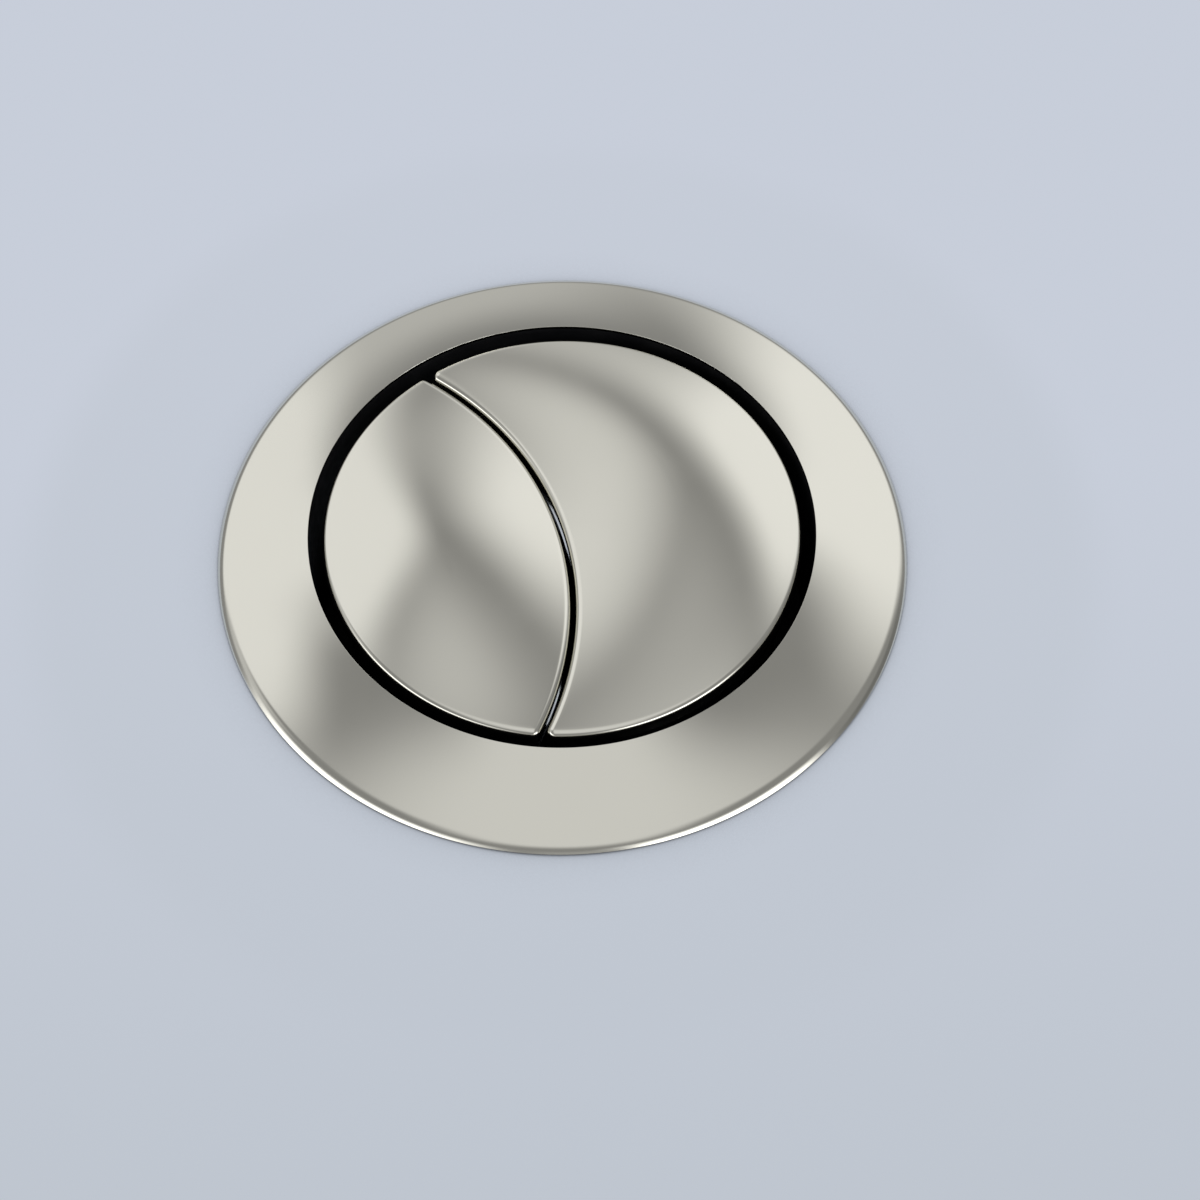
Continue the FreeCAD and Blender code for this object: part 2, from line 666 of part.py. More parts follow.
def make_cap(side):
    wall, bottom = size("Sizes.cap_wall"), size(SEAT_HEIGHT)
    top = size(f"Sizes.rim_height + Sizes.{side}_crown") + OVERRUN
    outside = button_prism(side, 0, bottom, top).common(crown_solid(side, 0, top))
    half_skirt = size("Sizes.skirt_depth") / 2

    def on_rim(edge):
        ends = [v.Point for v in edge.Vertexes]
        return all(p.z > bottom + half_skirt for p in ends) and not upright(edge)

    outside = outside.makeFillet(
        size("Sizes.cap_edge_round"), [edge for edge in outside.Edges if on_rim(edge)]
    )
    inside = button_prism(side, wall, bottom - OVERRUN, top).common(crown_solid(side, wall, top))
    x = size(towards(side, f"Sizes.{side}_screw_place"))
    spread = size(f"Sizes.{side}_screw_spread")
    boss_radius = size("Sizes.screw_radius + Sizes.screw_boss_wall")
    for y in (spread, -spread):
        boss = Part.makeCylinder(boss_radius, top - bottom, point(x, y, bottom))
        inside = inside.cut(boss)
    shell = outside.cut(inside)
    hole_depth = size("Sizes.screw_grip + Sizes.screw_hole_spare")
    for y in (spread, -spread):
        shell = shell.cut(Part.makeCylinder(size("Sizes.screw_radius"), hole_depth, point(x, y, bottom)))
    cap = doc.addObject("Part::Feature", f"{side}_cap")
    cap.Label = f"{side}_cap"
    cap.Shape = shell
    cap.Placement = FreeCAD.Placement()
    nodes.append(cap)


# Carriers: black mouldings that hold the caps and slide in the sleeves, each on its own stem's axis


def make_carrier(side):
    shift = towards(side, f"Sizes.{side}_stem_place")
    body = new_body(f"{side}_carrier")
    body.setExpression("Placement.Base.x", shift)
    plate_drawing = new_sketch(body, f"{side}_carrier_outline", "XY_Plane", CARRIER_BOTTOM)
    draw_button_outline(plate_drawing, side, "Sizes.carrier_inset", shift)
    plate = pad(body, plate_drawing, f"{side}_carrier_plate", "Sizes.carrier_thickness")
    fillet(body, plate, f"{side}_carrier_corners", upright, "Sizes.plan_corner")
    section = new_sketch(body, f"{side}_stem_section", "XZ_Plane")
    socket_top = f"{ROD_TOP} + Sizes.socket_spare"
    corners = [
        ("0", socket_top),
        (ROD_BORE, socket_top),
        (ROD_BORE, STEM_END),
        ("Sizes.stem_radius", STEM_END),
        ("Sizes.stem_radius", CLIP_BOTTOM),
        (GROOVE_RADIUS, CLIP_BOTTOM),
        (GROOVE_RADIUS, CLIP_TOP),
        ("Sizes.stem_radius", CLIP_TOP),
        ("Sizes.stem_radius", HUB_BOTTOM),
        ("Sizes.hub_radius", HUB_BOTTOM),
        ("Sizes.hub_radius", SEAT_HEIGHT),
        ("0", SEAT_HEIGHT),
    ]
    draw_outline(section, corners)
    revolve(body, section, f"{side}_stem")
    key_bottom = f"{PLATE_BOTTOM} + Sizes.stop_gap"
    key_drawing = new_sketch(body, f"{side}_key_outline", "XY_Plane", key_bottom)
    reach = "(Sizes.stem_radius + Sizes.key_height)"
    left, right = (f"-{reach}", "-Sizes.stem_radius / 2")
    if side == "full":
        left, right = ("Sizes.stem_radius / 2", reach)
    draw_rectangle(key_drawing, left, right, "-Sizes.key_width / 2", "Sizes.key_width / 2")
    pad(body, key_drawing, f"{side}_key", f"{HUB_BOTTOM} - ({key_bottom}) + Sizes.hub_length / 2")
    hole_drawing = new_sketch(body, f"{side}_screw_hole_outline", "XY_Plane", CARRIER_BOTTOM)
    x = f"{towards(side, f'Sizes.{side}_screw_place')} - ({shift})"
    for y in (f"Sizes.{side}_screw_spread", f"-Sizes.{side}_screw_spread"):
        draw_circle(hole_drawing, x, y, SCREW_HOLE)
    pocket(body, hole_drawing, f"{side}_screw_holes", "Sizes.carrier_thickness")


# Pieces on each stem: retaining clip, return spring, threaded rod, jam nut and foot


def on_stem(side, thing):
    thing.setExpression("Placement.Base.x", towards(side, f"Sizes.{side}_stem_place"))


def make_stem_clip(side):
    body = new_body(f"{side}_stem_clip")
    on_stem(side, body)
    drawing = new_sketch(body, f"{side}_clip_outline", "XY_Plane", CLIP_BOTTOM)
    draw_circle(drawing, "0", "0", "Sizes.clip_radius")
    draw_circle(drawing, "0", "0", f"{GROOVE_RADIUS} + Sizes.clip_grip_gap")
    pad(body, drawing, f"{side}_clip_ring", "Sizes.clip_thickness")
    mouth = new_sketch(body, f"{side}_clip_mouth_outline", "XY_Plane", CLIP_BOTTOM)
    half_mouth = "Sizes.clip_mouth / 2"
    draw_rectangle(mouth, f"-{half_mouth}", half_mouth, "-Sizes.clip_radius", "0")
    pocket(body, mouth, f"{side}_clip_mouth", "Sizes.clip_thickness")


def make_spring(side):
    """A coil of round wire between the guide plate and the carrier, with a closed turn at each end.

    Each half turn is half a torus, tilted so that it climbs by half its pitch. The wire lies level where two
    half turns meet, so the coil has no kink there.
    """
    closed = "(2 * Sizes.spring_wire_radius + Sizes.spring_end_gap)"
    height = f"({CARRIER_BOTTOM} - {PLATE_TOP} - 2 * Sizes.spring_wire_radius)"
    working = f"(({height} - 2 * {closed}) / (Sizes.spring_turns - 2))"
    count = 2 * round(size("Sizes.spring_turns"))
    level = size(f"{PLATE_TOP} + Sizes.spring_wire_radius")
    half_turns = []
    for n in range(count):
        pitch = closed if n < 2 or n >= count - 2 else working
        half_turn = doc.addObject("Part::Torus", f"{side}_half_turn_{n}")
        half_turn.setExpression("Radius1", f"sqrt(Sizes.spring_radius ^ 2 + {pitch} ^ 2 / 16)")
        half_turn.setExpression("Radius2", "Sizes.spring_wire_radius")
        half_turn.Angle3 = 180
        climb = size(pitch) / 4
        tilt = math.degrees(math.atan(climb / size("Sizes.spring_radius")))
        spin = FreeCAD.Rotation(point(0, 1, 0), tilt)
        if n % 2:
            spin = FreeCAD.Rotation(point(0, 1, 0), -tilt) * FreeCAD.Rotation(point(0, 0, 1), 180)
        half_turn.Placement = FreeCAD.Placement(point(0, 0, level + climb), spin)
        level += 2 * climb
        half_turns.append(half_turn)
    spring = doc.addObject("Part::MultiFuse", f"{side}_spring")
    spring.Label = f"{side}_spring"
    spring.Shapes = half_turns
    on_stem(side, spring)
    nodes.append(spring)


def make_rod(side):
    body = new_body(f"{side}_rod")
    on_stem(side, body)
    section = new_sketch(body, f"{side}_rod_section", "XZ_Plane")
    narrow = "Sizes.rod_radius - Sizes.rod_chamfer"
    corners = [
        ("0", ROD_END),
        (narrow, ROD_END),
        ("Sizes.rod_radius", f"{ROD_END} + Sizes.rod_chamfer"),
        ("Sizes.rod_radius", f"{ROD_TOP} - Sizes.rod_chamfer"),
        (narrow, ROD_TOP),
        ("0", ROD_TOP),
    ]
    draw_outline(section, corners)
    revolve(body, section, f"{side}_rod_shaft")


def make_jam_nut(side):
    body = new_body(f"{side}_jam_nut")
    on_stem(side, body)
    bottom = f"{STEM_END} - Sizes.jam_nut_height"
    drawing = new_sketch(body, f"{side}_jam_nut_outline", "XY_Plane", bottom)
    corner = "Sizes.jam_nut_flats / sqrt(3)"
    corners = [(f"{corner} * cos({60 * n} deg)", f"{corner} * sin({60 * n} deg)") for n in range(6)]
    draw_outline(drawing, corners)
    draw_circle(drawing, "0", "0", ROD_BORE)
    pad(body, drawing, f"{side}_jam_nut_block", "Sizes.jam_nut_height")


def make_rod_foot(side):
    body = new_body(f"{side}_rod_foot")
    on_stem(side, body)
    section = new_sketch(body, f"{side}_foot_section", "XZ_Plane")
    top = f"{FOOT_BOTTOM} + Sizes.foot_height"
    sole_top = f"{FOOT_BOTTOM} + Sizes.foot_sole"
    corners = [
        ("0", FOOT_BOTTOM),
        ("Sizes.foot_radius - Sizes.foot_round", FOOT_BOTTOM),
        ("Sizes.foot_radius", f"{FOOT_BOTTOM} + Sizes.foot_round"),
        ("Sizes.foot_radius", sole_top),
        ("Sizes.foot_top_radius", top),
        (ROD_BORE, top),
        (ROD_BORE, sole_top),
        ("0", sole_top),
    ]
    arcs = {1: ("Sizes.foot_round", 1)}
    draw_outline(section, corners, arcs)
    revolve(body, section, f"{side}_foot")


make_bezel()
make_housing()
make_ring(
    "lid_gasket",
    f"{SHANK} + Sizes.gasket_inner_gap",
    f"{SEAT} - Sizes.gasket_outer_gap",
    "0",
    "Sizes.gasket_thickness",
)
make_ring(
    "friction_washer",
    f"{SHANK} + Sizes.washer_gap",
    f"{SHANK} + Sizes.nut_flange_width",
    NUT_TOP,
    "Sizes.washer_thickness",
)
make_fixing_nut()
make_guide_plate()
make_guide_plate_screws()
for button in ("half", "full"):
    make_cap(button)
    make_carrier(button)
    make_cap_screws(button)
    make_stem_clip(button)
    make_spring(button)
    make_rod(button)
    make_jam_nut(button)
    make_rod_foot(button)

doc.recompute()
for thing in doc.Objects:
    if "Invalid" in thing.State or "Error" in thing.State:
        raise RuntimeError(f"{thing.Label} failed: {thing.State}")
os.makedirs("parts", exist_ok=True)
for node in nodes:
    shape = node.Shape
    if shape.isNull() or not shape.isValid():
        raise RuntimeError(f"{node.Label} has no valid shape")
    shape.exportStep(f"parts/{node.Label}.step")
    box = shape.BoundBox
    print(
        f"{node.Label:20s} solids {len(shape.Solids)} volume {shape.Volume:9.1f} "
        f"x {box.XMin:7.2f} {box.XMax:7.2f} y {box.YMin:7.2f} {box.YMax:7.2f} z {box.ZMin:7.2f} {box.ZMax:7.2f}"
    )
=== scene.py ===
"""Fine shapes, finishes and studio for a dual-flush cistern pushbutton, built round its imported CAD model.

Lengths are in metres in the CAD's own frame: Z = 0 is the top face of the cistern lid, +Z points up, and +X
runs from the half-flush button towards the full-flush button.
"""

import math

import bmesh
import bpy
from bpy.props import FloatProperty, FloatVectorProperty, IntProperty, PointerProperty
from bpy.types import Operator, Panel, PropertyGroup
from mathutils import Matrix, Vector


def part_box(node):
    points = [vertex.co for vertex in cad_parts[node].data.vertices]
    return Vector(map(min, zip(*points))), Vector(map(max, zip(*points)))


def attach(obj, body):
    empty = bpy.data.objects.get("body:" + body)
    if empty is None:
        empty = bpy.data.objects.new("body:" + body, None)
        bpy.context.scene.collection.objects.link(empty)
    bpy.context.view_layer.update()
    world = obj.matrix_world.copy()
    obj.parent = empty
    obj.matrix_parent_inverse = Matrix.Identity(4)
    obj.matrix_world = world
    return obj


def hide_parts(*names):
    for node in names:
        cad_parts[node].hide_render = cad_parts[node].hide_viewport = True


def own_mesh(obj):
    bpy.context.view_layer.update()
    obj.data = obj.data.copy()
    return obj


bl_info = {
    "name": "Cistern Pushbutton",
    "version": (1, 0, 0),
    "blender": (4, 5, 0),
    "location": "View3D > Sidebar > Pushbutton",
    "description": "Dresses the packed model of a dual-flush cistern pushbutton and sets its studio",
    "category": "Object",
}

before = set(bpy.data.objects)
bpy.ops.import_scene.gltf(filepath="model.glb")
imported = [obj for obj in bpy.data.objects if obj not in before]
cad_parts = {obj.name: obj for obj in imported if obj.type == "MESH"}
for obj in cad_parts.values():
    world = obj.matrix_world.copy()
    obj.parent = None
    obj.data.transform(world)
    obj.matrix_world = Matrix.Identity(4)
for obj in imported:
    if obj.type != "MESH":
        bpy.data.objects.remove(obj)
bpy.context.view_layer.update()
MM = 0.001
SIDES = ("half", "full")

# Radius of the smallest ring, which stands for a point on the axis
POLE = 1e-5

# Radius of each kind of screw, radius and height of its head, and length under its head
PLATE_SCREW = [n * MM for n in (1.5, 2.6, 1.8, 5.5)]
CAP_SCREW = [n * MM for n in (1.25, 2.4, 1.5, 4.1)]


def number(name, description, default, kind=FloatProperty, **options):
    return kind(name=name, description=description, default=default, **options)


def length(name, description, millimetres):
    """A size property in metres."""
    return number(name, description, millimetres * MM, unit="LENGTH", precision=5)


def colour(name, description, default):
    return number(name, description, default, FloatVectorProperty, subtype="COLOR", min=0, max=1)


class ButtonSizes(PropertyGroup):
    """Sizes of the pieces. The other sizes come from the CAD's boxes."""

    button_radius: length("Button radius", "Radius of the circle round both buttons", 25.87)
    slot_arc_radius: length("Slot arc", "Radius of the slot's centre line", 37.22)
    slot_arc_place: length("Slot arc centre", "Distance of the slot arc's centre from the axis", 37.46)
    slot_width: length("Slot width", "Gap between the two buttons", 0.45)
    plan_corner: length("Corner round", "Round of a button's corners seen from above", 0.9)
    edge_round: length("Edge round", "Round between a button's top and its skirt", 0.8)
    rim_height: length("Rim height", "Height of the buttons' level rim over the lid", 3.9)
    half_crown: length("Half-flush crown", "Rise of the half-flush button over its rim", 1.8)
    half_crown_place: length("Half-flush crown place", "Distance of its highest point from the axis", 14.0)
    full_crown: length("Full-flush crown", "Rise of the full-flush button over its rim", 1.83)
    full_crown_place: length("Full-flush crown place", "Distance of its highest point from the axis", 15.6)
    crown_fullness: number("Crown fullness", "Fullness added towards a crown's rim", -0.08, min=-1, max=1)
    skirt_depth: length("Skirt depth", "Depth of a cap's skirt under its rim", 1.9)
    cap_wall: length("Cap wall", "Thickness of a cap", 1.2)
    opening_radius: length("Opening radius", "Radius of the bezel's opening", 27.37)
    opening_height: length("Opening height", "Height of the opening's edge over the lid", 4.2)
    opening_edge: length("Opening edge", "Round of the opening's edge", 0.03)
    flange_radius: length("Flange radius", "Outer radius of the bezel", 37.5)
    flare_radius: length("Flare radius", "Radius of the bezel's hollow flare", 60.0)
    lip_width: length("Lip width", "Width of the rounded lip outside the flare, seen from above", 1.13)
    lip_height: length("Lip height", "Height where the flare meets the lip", 0.95)
    lip_round: length("Lip round", "Radius of the lip's round face", 2.1)
    lid_gap: length("Lid gap", "Gap between the bezel's foot and the lid", 0.2)
    foot_width: length("Foot width", "Width of the bezel's foot", 2.6)
    bezel_wall: length("Bezel wall", "Thickness of the bezel", 0.8)
    bezel_taper: length("Bezel taper", "Width of the slant under the opening's edge", 0.95)
    tab_width: length("Tab width", "Width of a crimp tab", 6.0)
    tab_thickness: length("Tab thickness", "Thickness of a crimp tab", 0.25)
    shank_radius: length("Shank radius", "Radius of the housing's threaded shank", 29.4)
    bore_radius: length("Bore radius", "Radius of the housing's bore", 27.42)
    boss_circle: length("Boss circle", "Radius of the circle through the guide plate's screws", 24.52)
    ledge_top: length("Ledge top", "Height of the top of the guide plate's ledge", -16.0)
    plate_top: length("Plate top", "Height of the guide plate's top face", -18.0)
    ledge_width: length("Ledge width", "Width of the guide plate's ledge", 3.3)
    shank_pitch: length("Shank pitch", "Pitch of the shank's thread", 3.0)
    shank_thread: length("Shank thread", "Depth of the shank's thread", 0.85)
    rod_pitch: length("Rod pitch", "Pitch of a rod's thread", 0.8)
    rod_thread: length("Rod thread", "Depth of a rod's thread", 0.32)
    rod_hole: length("Rod hole", "Radius of the hole in a jam nut and in a foot", 2.55)
    travel: length("Travel", "Travel of a button", 5.0)
    spring_wire: length("Spring wire", "Radius of a spring's wire", 0.45)
    spring_turns: number("Spring turns", "Turns of a return spring", 6, IntProperty, min=3)


class StageSettings(PropertyGroup):
    """Camera, background and the finishes' main colours."""

    focal_length: number("Focal length", "Camera lens in millimetres", 73.5, min=1)
    lid_colour: colour("Lid colour", "Colour of the lid in front", (0.521, 0.563, 0.627))
    far_colour: colour("Far colour", "Colour of the lid at the back", (0.575, 0.616, 0.70))
    nickel_colour: colour("Nickel", "Colour of the satin nickel plate", (0.709, 0.698, 0.633))
    nickel_roughness: number(
        "Nickel roughness", "Roughness of the satin plate", 0.12, min=0, max=1, subtype="FACTOR"
    )


# Mesh helpers


def sizes():
    return bpy.context.scene.pushbutton_sizes


def settings():
    return bpy.context.scene.pushbutton_stage


def new_object(name, mesh):
    thing = bpy.data.objects.new(name, mesh)
    bpy.context.scene.collection.objects.link(thing)
    return thing


def plain_object(bm, name):
    """An object of a bmesh as it is."""
    mesh = bpy.data.meshes.new(name)
    bm.to_mesh(mesh)
    bm.free()
    return new_object(name, mesh)


def shaded(thing, sharp):
    """The object with smooth shading, but for its edges sharper than an angle in degrees."""
    thing.data.shade_smooth()
    thing.data.set_sharp_from_angle(angle=math.radians(sharp))
    return thing


def finish_mesh(bm, name, sharp=30.0):
    """A smooth-shaded object of a bmesh, with its doubles merged and its normals outwards."""
    bmesh.ops.remove_doubles(bm, verts=bm.verts, dist=1e-7)
    bmesh.ops.dissolve_degenerate(bm, edges=bm.edges, dist=1e-7)
    bmesh.ops.recalc_face_normals(bm, faces=bm.faces)
    return shaded(plain_object(bm, name), sharp)


def add_grid(bm, rings, close_rings=False):
    """Faces between rings of equally many points; each ring is closed, and so is the stack if close_rings."""
    rows = [[bm.verts.new(p) for p in ring] for ring in rings]
    if close_rings:
        rows.append(rows[0])
    for low, high in zip(rows, rows[1:]):
        count = len(low)
        for n in range(count):
            bm.faces.new((low[n], low[(n + 1) % count], high[(n + 1) % count], high[n]))
    return rows


def add_stack(bm, rings):
    """Faces between rings and over the first and the last one."""
    rows = add_grid(bm, rings)
    for row in (rows[0], rows[-1]):
        bm.faces.new(row)


def lathe_rings(profile, segments, centre=(0.0, 0.0)):
    """Rings of points of a profile, given as (radius, height) pairs, turned round an upright axis."""
    turns = [2 * math.pi * n / segments for n in range(segments)]
    x, y = centre
    return [[(x + r * math.cos(t), y + r * math.sin(t), z) for t in turns] for r, z in profile]


def arc(centre, radius, start, finish, count):
    """Points of an arc, with its angles in degrees."""
    angles = [math.radians(start + (finish - start) * n / count) for n in range(count + 1)]
    return [(centre[0] + radius * math.cos(a), centre[1] + radius * math.sin(a)) for a in angles]


def rounded(corners, rounds, count=5):
    """A closed profile with its corners rounded; rounds maps a corner's number to its radius."""
    points = []
    for n, corner in enumerate(corners):
        if n not in rounds:
            points.append(corner)
            continue
        here = Vector(corner)
        before = (Vector(corners[n - 1]) - here).normalized()
        after = (Vector(corners[(n + 1) % len(corners)]) - here).normalized()
        half = before.angle(after) / 2
        reach = rounds[n] / math.tan(half)
        start, finish = here + before * reach, here + after * reach
        centre = here + (before + after).normalized() * (rounds[n] / math.sin(half))
        for k in range(count + 1):
            spot = start.lerp(finish, k / count) - centre
            points.append(tuple(centre + spot.normalized() * rounds[n]))
    return points


def lathe(bm, profile, segments, centre=(0.0, 0.0)):
    """A closed profile turned into a ring."""
    add_grid(bm, lathe_rings(profile, segments, centre), close_rings=True)


def spindle(bm, profile, segments, centre=(0.0, 0.0)):
    """An open profile that starts and ends on the axis, turned into a solid."""
    add_stack(bm, lathe_rings([(max(r, POLE), z) for r, z in profile], segments, centre))


def plate_screw_spots():
    """Places of the guide plate's three screws and their bosses."""
    return arc((0.0, 0.0), sizes().boss_circle, 30.0, 270.0, 2)


def cap_screw_spots(side):
    """Places of a cap's two screws and their bosses, from the box round both screws."""
    low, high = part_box(f"{side}_cap_screws")
    x, head = (low.x + high.x) / 2, CAP_SCREW[1]
    return [(x, low.y + head), (x, high.y - head)]


# Node helpers


class Nodes:
    """Adds nodes to a tree, fills their inputs and links them."""

    def __init__(self, group):
        self.group = group

    def add(self, kind, *values, inputs=None, **options):
        """A node with its options set and its inputs filled or linked, in order or by name."""
        node = self.group.nodes.new(kind)
        for key, value in options.items():
            setattr(node, key, value)
        for socket, value in zip([each for each in node.inputs if each.enabled], values):
            self.plug(socket, value)
        for label, value in (inputs or {}).items():
            self.plug(node.inputs[label], value)
        return node

    def plug(self, socket, value):
        if value is None:
            return
        if isinstance(value, bpy.types.Node):
            value = next(each for each in value.outputs if each.enabled)
        if isinstance(value, bpy.types.NodeSocket):
            self.group.links.new(value, socket)
        else:
            socket.default_value = value

    def math(self, operation, *values):
        return self.add("ShaderNodeMath", *values, operation=operation)

    def mix(self, share, first, second):
        """Two colours mixed by a share."""
        return self.add("ShaderNodeMix", share, first, second, data_type="RGBA")

    def fading(self, value, start, finish):
        """A soft step from 0 to 1 between two values."""
        return self.add("ShaderNodeMapRange", value, start, finish, interpolation_type="SMOOTHSTEP")


class NodeTree(Nodes):
    """A Geometry Nodes tree with named inputs, ending in Realize Instances and Set Material."""

    def __init__(self, name, **inputs):
        super().__init__(bpy.data.node_groups.new(name, "GeometryNodeTree"))
        declare = self.group.interface.new_socket
        for kind, labels in {"Geometry": ["Geometry"], **inputs, "Material": ["Material"]}.items():
            for label in labels:
                declare(label, in_out="INPUT", socket_type=f"NodeSocket{kind}")
        declare("Geometry", in_out="OUTPUT", socket_type="NodeSocketGeometry")
        self.start = self.add("NodeGroupInput")

    def input(self, label):
        return self.start.outputs[label]

    def turned(self, radius, turns, height):
        """A place at a radius, a number of turns and a height, from the input named Place."""
        angle = self.math("MULTIPLY", turns, 2 * math.pi)
        x = self.math("MULTIPLY", radius, self.math("COSINE", angle))
        y = self.math("MULTIPLY", radius, self.math("SINE", angle))
        spot = self.add("ShaderNodeCombineXYZ", x, y, height)
        return self.add("ShaderNodeVectorMath", spot, self.input("Place"))

    def join(self, *geometries):
        joined = self.add("GeometryNodeJoinGeometry")
        for geometry in geometries:
            self.plug(joined.inputs[0], geometry)
        return joined

    def close(self, *geometries):
        """Joins the geometries, realizes them, gives them the material and ends the tree."""
        real = self.add("GeometryNodeRealizeInstances", self.join(*geometries))
        welded = self.add("GeometryNodeMergeByDistance", real, inputs={"Distance": 2e-6})
        painted = self.add("GeometryNodeSetMaterial", welded, inputs={"Material": self.input("Material")})
        self.add("NodeGroupOutput", painted)
        return self.group


def grown(thing, group, sharp=30.0, **values):
    """The plain mesh that a Geometry Nodes tree makes of an object, as a new object of the same name."""
    modifier = thing.modifiers.new("Grow", "NODES")
    modifier.node_group = group
    for item in group.interface.items_tree:
        if item.item_type == "SOCKET" and item.in_out == "INPUT":
            key = item.name.lower().replace(" ", "_")
            if key in values:
                modifier[item.identifier] = values[key]
    thing.update_tag()
    bpy.context.view_layer.update()
    evaluated = thing.evaluated_get(bpy.context.evaluated_depsgraph_get())
    mesh = bpy.data.meshes.new_from_object(evaluated)
    name = thing.name
    bpy.data.objects.remove(thing)
    bm = bmesh.new()
    bm.from_mesh(mesh)
    bmesh.ops.dissolve_degenerate(bm, edges=bm.edges, dist=1e-6)
    bmesh.ops.recalc_face_normals(bm, faces=bm.faces)
    bm.to_mesh(mesh)
    bm.free()
    mesh.name = name
    return shaded(new_object(name, mesh), sharp)


def thread_tree():
    """A threaded band: rows of a grid run up a helix, four to a pitch, and fade out at both ends."""
    tree = NodeTree(
        "Thread",
        Float=["Root Radius", "Crest Radius", "Pitch", "Bottom", "Top"],
        Int=["Segments"],
        Vector=["Place"],
    )
    root, crest, pitch = tree.input("Root Radius"), tree.input("Crest Radius"), tree.input("Pitch")
    bottom, top = tree.input("Bottom"), tree.input("Top")
    step = tree.math("DIVIDE", pitch, 4.0)
    span = tree.math("ADD", tree.math("SUBTRACT", top, bottom), tree.math("MULTIPLY", pitch, 2.0))
    rows = tree.math("CEIL", tree.math("DIVIDE", span, step))
    columns = tree.math("ADD", tree.input("Segments"), 1.0)
    grid = tree.add("GeometryNodeMeshGrid", 1.0, 1.0, columns, tree.math("ADD", rows, 1.0))
    spot = tree.add("ShaderNodeSeparateXYZ", tree.add("GeometryNodeInputPosition"))
    around = tree.math("ADD", spot.outputs[0], 0.5)
    row = tree.math("ROUND", tree.math("MULTIPLY", tree.math("ADD", spot.outputs[1], 0.5), rows))
    climb = tree.math("ADD", tree.math("MULTIPLY", row, step), tree.math("MULTIPLY", around, pitch))
    raw = tree.math("ADD", tree.math("SUBTRACT", bottom, pitch), climb)
    height = tree.math("MINIMUM", tree.math("MAXIMUM", raw, bottom), top)
    on_crest = tree.math("COMPARE", tree.math("MODULO", row, 4.0), 1.5, 0.6)
    low = tree.math("DIVIDE", tree.math("SUBTRACT", height, bottom), pitch)
    high = tree.math("DIVIDE", tree.math("SUBTRACT", top, height), pitch)
    fade = tree.math("MINIMUM", low, high)
    fade.use_clamp = True
    ridge = tree.math("MULTIPLY", tree.math("MULTIPLY", on_crest, fade), tree.math("SUBTRACT", crest, root))
    where = tree.turned(tree.math("ADD", root, ridge), around, height)
    band = tree.add("GeometryNodeSetPosition", grid, inputs={"Position": where})
    return tree.close(tree.input("Geometry"), band)


def coil_tree(steps_in_turn=36.0):
    """A coil of round wire, with a closed turn at each end."""
    tree = NodeTree(
        "Coil",
        Float=["Radius", "Wire Radius", "Height", "End Pitch"],
        Int=["Turns"],
        Vector=["Place"],
    )
    turns, end_pitch = tree.input("Turns"), tree.input("End Pitch")
    points = tree.math("ADD", tree.math("MULTIPLY", turns, steps_in_turn), 1.0)
    turn = tree.math("DIVIDE", tree.add("GeometryNodeInputIndex"), steps_in_turn)
    working = tree.math("SUBTRACT", turns, 2.0)
    spare = tree.math("SUBTRACT", tree.input("Height"), tree.math("MULTIPLY", end_pitch, turns))
    extra = tree.math("DIVIDE", spare, working)
    inner = tree.math("MINIMUM", tree.math("MAXIMUM", tree.math("SUBTRACT", turn, 1.0), 0.0), working)
    height = tree.math("ADD", tree.math("MULTIPLY", turn, end_pitch), tree.math("MULTIPLY", inner, extra))
    where = tree.turned(tree.input("Radius"), turn, height)
    line = tree.add("GeometryNodeMeshLine", points)
    bent = tree.add("GeometryNodeSetPosition", line, inputs={"Position": where})
    path = tree.add("GeometryNodeMeshToCurve", bent)
    wire = tree.add("GeometryNodeCurvePrimitiveCircle", 14, tree.input("Wire Radius"))
    swept = tree.add("GeometryNodeCurveToMesh", path, inputs={"Profile Curve": wire, "Fill Caps": True})
    return tree.close(swept)


def lug_tree():
    """Rounded blocks set round an axis and joined to the piece that carries them."""
    tree = NodeTree(
        "Lugs",
        Float=["Inner Radius", "Outer Radius", "Width", "Bottom", "Height", "Corner Round"],
        Int=["Count"],
    )
    inner, outer, count = tree.input("Inner Radius"), tree.input("Outer Radius"), tree.input("Count")
    long = tree.math("SUBTRACT", outer, inner)
    outline = tree.add("GeometryNodeCurvePrimitiveQuadrilateral", long, tree.input("Width"))
    corners = {"Count": 4, "Radius": tree.input("Corner Round")}
    soft = tree.add("GeometryNodeFilletCurve", outline, inputs=corners, mode="POLY")
    floor = tree.add("GeometryNodeFillCurve", soft)
    up = tree.add("ShaderNodeCombineXYZ", 0.0, 0.0, tree.input("Height"))
    raised = tree.add("GeometryNodeExtrudeMesh", floor, inputs={"Offset": up, "Individual": False})
    middle = tree.math("DIVIDE", tree.math("ADD", inner, outer), 2.0)
    out = tree.add("ShaderNodeCombineXYZ", middle, 0.0, tree.input("Bottom"))
    block = tree.add("GeometryNodeTransform", tree.join(floor, raised), inputs={"Translation": out})
    share = tree.math("DIVIDE", tree.add("GeometryNodeInputIndex"), count)
    turn = tree.add("ShaderNodeCombineXYZ", 0.0, 0.0, tree.math("MULTIPLY", share, 2 * math.pi))
    points = tree.add("GeometryNodePoints", count)
    copies = tree.add("GeometryNodeInstanceOnPoints", points, inputs={"Instance": block, "Rotation": turn})
    return tree.close(tree.input("Geometry"), copies)


